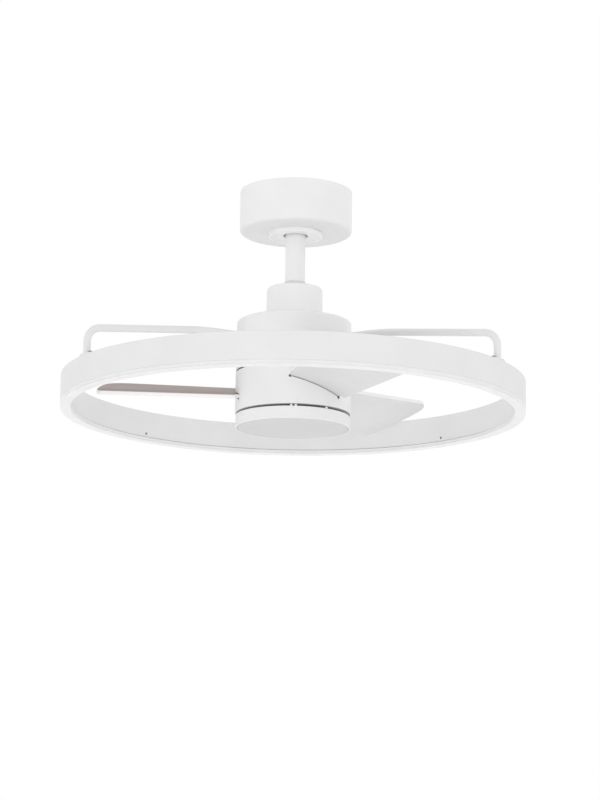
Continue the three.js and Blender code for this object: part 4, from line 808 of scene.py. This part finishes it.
sweep_tree, given = new_tree("section_round_a_circle", {
    "Radius": RING_MID_R / 1000, "Steps": RING_STEPS,
}, ["Section"])
section = add(sweep_tree, "GeometryNodeObjectInfo", {
    "Object": given["Section"],
}).outputs["Geometry"]
section_curve = add(sweep_tree, "GeometryNodeMeshToCurve", {"Mesh": section}).outputs[0]
circle = add(sweep_tree, "GeometryNodeCurvePrimitiveCircle", {
    "Radius": given["Radius"], "Resolution": given["Steps"],
}).outputs["Curve"]
swept = add(sweep_tree, "GeometryNodeCurveToMesh", {
    "Curve": circle, "Profile Curve": section_curve,
}).outputs[0]
end_tree(sweep_tree, given, swept)


def section_outline(name, corners, centre_r):
    """A closed outline in the XY plane. The sweep lays its X outwards and its Y downwards."""
    outline = bpy.data.meshes.new(name)
    corner_steps = 4
    points = [((p.x - centre_r) / 1000, -p.y / 1000, 0) for p in rounded(corners, corner_steps)]
    count = len(points)
    outline.from_pydata(points, [(k, (k + 1) % count) for k in range(count)], [])
    return in_scene(name, outline)


def swept_ring(name, corners, finish):
    """A section given in radius and height, swept round the fan's axis."""
    outline = section_outline(name + "_section", corners, RING_MID_R)
    piece = grown(name, sweep_tree, finish, Section=outline)
    bpy.data.objects.remove(outline)
    faced_out(piece.data)
    reach = max(abs(v.co.x) for v in piece.data.vertices) * 1000
    print(name, "reaches", round(reach, 2), "mm")
    return piece


# %% Channel
RING_TOP, RING_WALL = -255.2, 1.6
INSIDE_FAR_R, INSIDE_NEAR_R, ROOF = RING_R - RING_WALL, RING_INNER_R + RING_WALL, RING_TOP - RING_WALL

channel = swept_ring("ring_channel_rolled", [
    (RING_R, RING_TOP, 0.7), (RING_R, RING_BOTTOM_Z, 0.3), (INSIDE_FAR_R, RING_BOTTOM_Z, 0.3),
    (INSIDE_FAR_R, ROOF, 0.5), (INSIDE_NEAR_R, ROOF, 0.5), (INSIDE_NEAR_R, RING_BOTTOM_Z, 0.3),
    (RING_INNER_R, RING_BOTTOM_Z, 0.3), (RING_INNER_R, RING_TOP, 0.7),
], cool_white_coat)
dressed(channel, "ring_channel")

# %% Opal strip
# The strip stands 1.6 mm further in than the channel, a groove runs round both its faces, and a narrower
# part of it clips in between the channel's walls.
STRIP_R, STRIP_INNER_R, STRIP_BOTTOM = RING_R - 0.1, RING_INNER_R - 1.6, RING_BOTTOM_Z - 6.06
CLIP_R, CLIP_INNER_R, CLIP_TOP = RING_R - 1.9, RING_INNER_R + 1.9, RING_BOTTOM_Z + 7.0
LIP, INNER_LIP = RING_BOTTOM_Z - 0.05, RING_BOTTOM_Z - 0.7
GROOVE, GROOVE_HALF, GROOVE_DEPTH = RING_BOTTOM_Z - 4.2, 0.45, 0.5

strip = swept_ring("ring_diffuser_strip", [
    (STRIP_R, LIP, 0.15), (STRIP_R, GROOVE + GROOVE_HALF), (STRIP_R - GROOVE_DEPTH, GROOVE),
    (STRIP_R, GROOVE - GROOVE_HALF), (STRIP_R, STRIP_BOTTOM, 1.0), (STRIP_INNER_R, STRIP_BOTTOM, 0.8),
    (STRIP_INNER_R, GROOVE - GROOVE_HALF), (STRIP_INNER_R + GROOVE_DEPTH, GROOVE),
    (STRIP_INNER_R, GROOVE + GROOVE_HALF), (STRIP_INNER_R, INNER_LIP, 0.3), (CLIP_INNER_R, INNER_LIP),
    (CLIP_INNER_R, CLIP_TOP, 0.4), (CLIP_R, CLIP_TOP, 0.4), (CLIP_R, LIP),
], ring_opal)
dressed(strip, "ring_diffuser")

# %% [markdown]
# ## Tubes that carry the ring
# Three slim tubes run level out of the housing, fall a little from 133 mm out, and bend down on to the
# ring, where each ends in a foot plate with round ends. A tube follows a path, so a Geometry Nodes tree
# sweeps a circle along it, sets the foot below it and turns the whole to its azimuth: one tree, three
# azimuths.

# %% The path of a bent tube
KNEE_R, KNEE_BEND, FALL, BEND_R = 133.0, 350.0, 6.25, 19.0
KNEE_STEPS, BEND_STEPS, TUBE_AROUND = 4, 16, 40
FOOT_BOTTOM, FOOT_T, FOOT_LENGTH, FOOT_WIDTH, FOOT_CORNER_R = -255.18, 1.5, 30.0, 11.0, 5.0
ARM_START_R, TUBE_END = 22.0, FOOT_BOTTOM + 1.0


def bent_path(corners, bends, steps):
    """Points of a path in radius and height whose inner corners are round."""
    points = [Vector(corners[0])]
    for corner, before, after, radius, count in zip(corners[1:-1], corners, corners[2:], bends, steps):
        corner, into, out = Vector(corner), Vector(corner) - Vector(before), Vector(after) - Vector(corner)
        into.normalize()
        out.normalize()
        angle = into.angle(out)
        reach = radius * math.tan(angle / 2)
        centre = corner + (out - into).normalized() * (radius / math.cos(angle / 2))
        points += arc(centre, corner - into * reach - centre, -angle, count)
    return points + [Vector(corners[-1])]


corner_z = ARM_Z - (RING_MID_R - KNEE_R) * math.tan(math.radians(FALL))
arm_line = bent_path(
    [(ARM_START_R, ARM_Z), (KNEE_R, ARM_Z), (RING_MID_R, corner_z), (RING_MID_R, TUBE_END)],
    (KNEE_BEND, BEND_R), (KNEE_STEPS, BEND_STEPS),
)
arm_path = bpy.data.meshes.new("arm_path")
arm_path.from_pydata(
    [(p.x / 1000, 0, p.y / 1000) for p in arm_line], [(k, k + 1) for k in range(len(arm_line) - 1)], [],
)
print("tube corner at height", round(corner_z, 1), "points", len(arm_line))

# %% The tree: tube, foot and azimuth
arm_tree, given = new_tree("bent_tube_with_foot", {
    "Tube Radius": ARM_R / 1000, "Foot Length": FOOT_LENGTH / 1000, "Foot Width": FOOT_WIDTH / 1000,
    "Foot Thickness": FOOT_T / 1000, "Foot Radius": RING_MID_R / 1000, "Foot Height": FOOT_BOTTOM / 1000,
    "Azimuth": 0.0,
})
path_curve = add(arm_tree, "GeometryNodeMeshToCurve", {"Mesh": given["Geometry"]}).outputs[0]
round_section = add(arm_tree, "GeometryNodeCurvePrimitiveCircle", {
    "Radius": given["Tube Radius"], "Resolution": TUBE_AROUND,
}).outputs["Curve"]
tube = add(arm_tree, "GeometryNodeCurveToMesh", {
    "Curve": path_curve, "Profile Curve": round_section, "Fill Caps": True,
}).outputs[0]
foot_outline = add(arm_tree, "GeometryNodeCurvePrimitiveQuadrilateral", {
    "Width": given["Foot Width"], "Height": given["Foot Length"],
}).outputs[0]
foot_rounded = add(arm_tree, "GeometryNodeFilletCurve", {
    "Curve": foot_outline, "Radius": FOOT_CORNER_R / 1000, "Count": 8,
}, mode="POLY").outputs[0]
foot_face = add(arm_tree, "GeometryNodeFillCurve", {"Curve": foot_rounded}, mode="NGONS").outputs[0]
foot_solid = add(arm_tree, "GeometryNodeExtrudeMesh", {
    "Mesh": foot_face, "Offset Scale": given["Foot Thickness"], "Individual": False,
}, mode="FACES").outputs["Mesh"]
foot_back = add(arm_tree, "GeometryNodeFlipFaces", {"Mesh": foot_face}).outputs[0]
foot_whole = add(arm_tree, "GeometryNodeJoinGeometry", {"Geometry": foot_back})
arm_tree.links.new(foot_solid, foot_whole.inputs[0])
foot_closed = add(arm_tree, "GeometryNodeMergeByDistance", {
    "Geometry": foot_whole.outputs[0], "Distance": 1e-6,
}).outputs[0]
foot_spot = add(arm_tree, "ShaderNodeCombineXYZ", {
    "X": given["Foot Radius"], "Z": given["Foot Height"],
}).outputs[0]
foot_set = add(arm_tree, "GeometryNodeTransform", {
    "Geometry": foot_closed, "Translation": foot_spot,
}).outputs[0]
both = add(arm_tree, "GeometryNodeJoinGeometry", {"Geometry": tube})
arm_tree.links.new(foot_set, both.inputs[0])
swing = add(arm_tree, "ShaderNodeCombineXYZ", {"Z": given["Azimuth"]}).outputs[0]
swung = add(arm_tree, "GeometryNodeTransform", {"Geometry": both.outputs[0], "Rotation": swing}).outputs[0]
end_tree(arm_tree, given, swung)

# %% Three tubes
TUBE_SMOOTH_BELOW = 40  # Degrees

for index, azimuth in enumerate(ARM_AZIMUTHS, 1):
    arm = grown(
        f"ring_tube_{index}", arm_tree, cool_white_coat, arm_path.copy(), TUBE_SMOOTH_BELOW,
        Azimuth=math.radians(azimuth),
    )
    dressed(arm, f"ring_arm_{index}")

# %% [markdown]
# ## Blades
# A blade is a flat board, narrow at the drum and wide at the tip, with one straight edge beside its own
# axis, a rounded tip that follows the circle that it sweeps, and a tongue that goes through the drum's
# slot to its clamp. It is drawn once in its own plan, thickened, and its edges are rounded; then it is
# pitched and swung to its place. Two attributes mark the laminate's faces and the faces that take a
# painted highlight on the edges, and a UV map holds the plan, so that the grain runs along the blade.

# %% Outline of a blade
SWEEP_R = 253.5
ROOT_X, TIP_X = 75.0, 250.0
TRAIL = (33.0, 18.05)
LEAD = (-52.1, -91.6)
TRAIL_CORNER, LEAD_CORNER, TRAIL_ROOT, LEAD_ROOT = 8.0, 24.0, 7.0, 6.0
TRAIL_STEPS, LEAD_STEPS, TIP_STEPS, TONGUE_STEPS = 8, 14, 24, 8
SHOULDER_R = HUB_R + 4.0
TONGUE_END_R = 60.8


def edge_at(edge, x):
    """Height of a straight edge, given at the root and tip stations, at a distance out."""
    return edge[0] + (edge[1] - edge[0]) * (x - ROOT_X) / (TIP_X - ROOT_X)


def tip_corner(edge, radius, inward, steps):
    """An arc that touches a straight edge and the swept circle."""
    along = Vector((1, edge_at(edge, 1) - edge_at(edge, 0))).normalized()
    normal = Vector((-along.y, along.x)) * inward
    base = Vector((0, edge_at(edge, 0))) + normal * radius
    b = base.dot(along)
    centre = base + along * (-b + math.sqrt(b * b - base.length_squared + (SWEEP_R - radius) ** 2))
    first = math.atan2(-normal.y, -normal.x)
    last = math.atan2(centre.y, centre.x)
    return [
        centre + radius * Vector((math.cos(a), math.sin(a)))
        for a in (first + (last - first) * k / steps for k in range(steps + 1))
    ]


def blade_outline():
    """From the tongue's leading corner out along the lead, round the tip and back along the trail."""
    lead = tip_corner(LEAD, LEAD_CORNER, 1, LEAD_STEPS)
    trail = list(reversed(tip_corner(TRAIL, TRAIL_CORNER, -1, TRAIL_STEPS)))
    first, last = (math.atan2(p.y, p.x) for p in (lead[-1], trail[0]))
    tip = [
        SWEEP_R * Vector((math.cos(a), math.sin(a)))
        for a in (first + (last - first) * (k + 1) / TIP_STEPS for k in range(TIP_STEPS - 1))
    ]
    lead_x, trail_x = (math.sqrt(SHOULDER_R ** 2 - y ** 2) for y in (TONGUE_LEAD, TONGUE_TRAIL))
    lead_shoulder, trail_shoulder = (lead_x, TONGUE_LEAD), (trail_x, TONGUE_TRAIL)
    level = math.cos(math.radians(BLADE_PITCH))
    tongue = [
        Vector((math.sqrt(TONGUE_END_R ** 2 - (y * level) ** 2), y))
        for y in (
            TONGUE_TRAIL + (TONGUE_LEAD - TONGUE_TRAIL) * k / TONGUE_STEPS for k in range(TONGUE_STEPS + 1)
        )
    ]
    lead_root = (lead_x, edge_at(LEAD, lead_x), LEAD_ROOT)
    trail_root = (trail_x, edge_at(TRAIL, trail_x), TRAIL_ROOT)
    front = rounded([lead_shoulder, lead_root, tuple(lead[0])])[1:-1]
    back = rounded([tuple(trail[-1]), trail_root, trail_shoulder])[1:-1]
    return [Vector(lead_shoulder), *front, *lead, *tip, *trail, *back, Vector(trail_shoulder), *tongue]


plan = blade_outline()
print("blade outline points:", len(plan))

# %% Three blades
EDGE_ROUND = 0.8
GRAIN_SHIFT = 0.01  # Metres along the grain for each degree, so that no two blades have the same figure
# The upward part of a face's normal: above the first value the face is flat, below the second an edge
FLAT, EDGE = 0.999, 0.8


def marked(mesh, name, belongs):
    """A face attribute that is 1 where a face belongs and 0 elsewhere."""
    mark = mesh.attributes.new(name, "FLOAT", "FACE")
    mark.data.foreach_set("value", [1.0 if belongs(face) else 0.0 for face in mesh.polygons])


def make_blade(name, azimuth):
    count = len(plan)
    points = [(p.x, p.y, z) for z in (-BLADE_T / 2, BLADE_T / 2) for p in plan]
    sides = [(k, (k + 1) % count, count + (k + 1) % count, count + k) for k in range(count)]
    faces = [tuple(range(count)), tuple(range(count, 2 * count)), *sides]
    piece = solid_mesh(name, points, faces, laminate_and_lacquer)
    soft = piece.modifiers.new("edges", "BEVEL")
    soft.width = EDGE_ROUND / 1000
    soft.segments = 3
    soft.limit_method = "ANGLE"
    soft.angle_limit = math.radians(60)
    mesh = made_plain(piece).data
    marked(mesh, "laminate", lambda face: face.normal.z > FLAT and face.center.z > 0)
    # The side faces take the painted edge highlight.
    marked(mesh, "edge_highlight", lambda face: abs(face.normal.z) < EDGE)
    chart = mesh.uv_layers.new(name="blade_plan")
    for loop in mesh.loops:
        at = mesh.vertices[loop.vertex_index].co
        chart.data[loop.index].uv = (at.x + azimuth * GRAIN_SHIFT, at.y)
    return moved(piece, blade_place(azimuth))


for index, azimuth in enumerate(BLADE_AZIMUTHS, 1):
    dressed(make_blade(f"blade_board_{index}", azimuth), f"blade_{index}")

# %% [markdown]
# ## Screws
# Four small screws hold the opal strip's clips through the ring's inner wall, just above its lower edge,
# and six larger ones hold the tubes' feet. Each kind is drawn once, with a cross in its head, and set on
# points that each carry the direction that the screw faces.

# %% One screw head
def screw_head(name, radius, height, slot_width, slot_length):
    """A pan head with a cross cut in it: its seat is at z = 0 and it faces up."""
    shank_r, shank_end, crown_r, head_around = radius * 0.6, -1.0, radius * 0.55, 24
    body = turned(name, [
        (0, shank_end), (shank_r, shank_end), (shank_r, 0), (radius, 0),
        (radius, height * 0.45, height * 0.3), (crown_r, height), (0, height),
    ], plated_screw, head_around)
    low, high = height * 0.35, height + 1
    bars = [
        block("cross", (-long / 2, -wide / 2, low), (long / 2, wide / 2, high))
        for long, wide in ((slot_length, slot_width), (slot_width, slot_length))
    ]
    return boolean(body, "DIFFERENCE", bars)


# %% The tree: a thing set on points, facing the way each point says
set_tree, given = new_tree("things_on_points", {"Size": 1.0}, ["Thing"])
thing = add(set_tree, "GeometryNodeObjectInfo", {"Object": given["Thing"]}).outputs["Geometry"]
facing = add(set_tree, "GeometryNodeInputNamedAttribute", {
    "Name": "facing",
}, data_type="FLOAT_VECTOR").outputs[0]
aligned = add(set_tree, "FunctionNodeAlignRotationToVector", {"Vector": facing}, axis="Z").outputs[0]
placed = add(set_tree, "GeometryNodeInstanceOnPoints", {
    "Points": given["Geometry"], "Instance": thing, "Rotation": aligned,
    "Scale": given["Size"],
}).outputs[0]
end_tree(set_tree, given, placed)


def on_points(name, thing_to_set, spots, finish):
    """Sets a thing on spots, each a place in millimetres and a direction."""
    base = bpy.data.meshes.new(name)
    base.from_pydata([Vector(place) / 1000 for place, _ in spots], [], [])
    base.attributes.new("facing", "FLOAT_VECTOR", "POINT").data.foreach_set(
        "vector", [c for _, way in spots for c in way],
    )
    piece = grown(name, set_tree, finish, base, Thing=thing_to_set)
    bpy.data.objects.remove(thing_to_set)
    return piece


# %% Ring screws
RING_SCREW_AZIMUTHS = (46, 135, 226, 315)
RING_SCREW_Z = RING_BOTTOM_Z + 4.5

inwards = [Vector((-math.cos(a), -math.sin(a), 0)) for a in map(math.radians, RING_SCREW_AZIMUTHS)]
wall_spots = [(Vector((0, 0, RING_SCREW_Z)) - RING_INNER_R * way, way) for way in inwards]
ring_screws = on_points(
    "ring_screw_heads", screw_head("screw", radius=1.7, height=0.9, slot_width=0.5, slot_length=2.2),
    wall_spots, plated_screw,
)
dressed(ring_screws, "ring_screw_1", "ring_screw_2", "ring_screw_3", "ring_screw_4")

# %% Foot screws
# Each foot plate is held by two screws, one on either side of the tube. Only their heads show.
FOOT_SCREW_ASIDE = 11.0

foot_spots = [
    (turn_about_z(azimuth) @ Vector((RING_MID_R, aside, FOOT_BOTTOM + FOOT_T)), (0, 0, 1))
    for azimuth in ARM_AZIMUTHS for aside in (-FOOT_SCREW_ASIDE, FOOT_SCREW_ASIDE)
]
foot_screws = on_points(
    "foot_screw_heads", screw_head("screw", radius=3.6, height=2.5, slot_width=0.9, slot_length=4.4),
    foot_spots, plated_screw,
)
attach(foot_screws, "hanging_frame")
print("foot screws:", 2 * len(ARM_AZIMUTHS))

# %% [markdown]
# ## Floor
# The floor is 2.45 m below the ceiling, as in a room. It is pale and matt, and it is there for the soft
# light that it throws back up. A faint glow of its own brings it nearer to the white behind.

# %% Pale floor
FLOOR_Z, FLOOR_HALF, FLOOR_GLOW = -2.45, 14.0, 0.20
floor_mesh = bpy.data.meshes.new("floor")
floor_mesh.from_pydata([
    (x * FLOOR_HALF, y * FLOOR_HALF, FLOOR_Z) for x, y in ((-1, -1), (1, -1), (1, 1), (-1, 1))
], [], [(0, 1, 2, 3)])
floor = in_scene("floor", floor_mesh)
pale, floor_tree, _ = new_finish("pale_matt_floor")
matt = add(floor_tree, "ShaderNodeBsdfDiffuse", {"Color": linear("#F4F4F4")})
glow = add(floor_tree, "ShaderNodeEmission", {"Color": linear("#FFFFFF"), "Strength": FLOOR_GLOW})
glowing = add(floor_tree, "ShaderNodeAddShader", {0: matt.outputs[0], 1: glow.outputs[0]})
add(floor_tree, "ShaderNodeOutputMaterial", {"Surface": glowing.outputs[0]})
floor_mesh.materials.append(pale)
floor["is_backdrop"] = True
print("floor at", FLOOR_Z, "m")

# %% [markdown]
# ## Sizes
# The imported model's box and the dressed fan's are printed side by side.

# %% Sizes, then finish
seen_box = [list(corner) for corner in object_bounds()]
for label, corners in (("packed", cad_box), ("dressed", seen_box)):
    print(label, [[round(c * 1000, 1) for c in corner] for corner in corners])
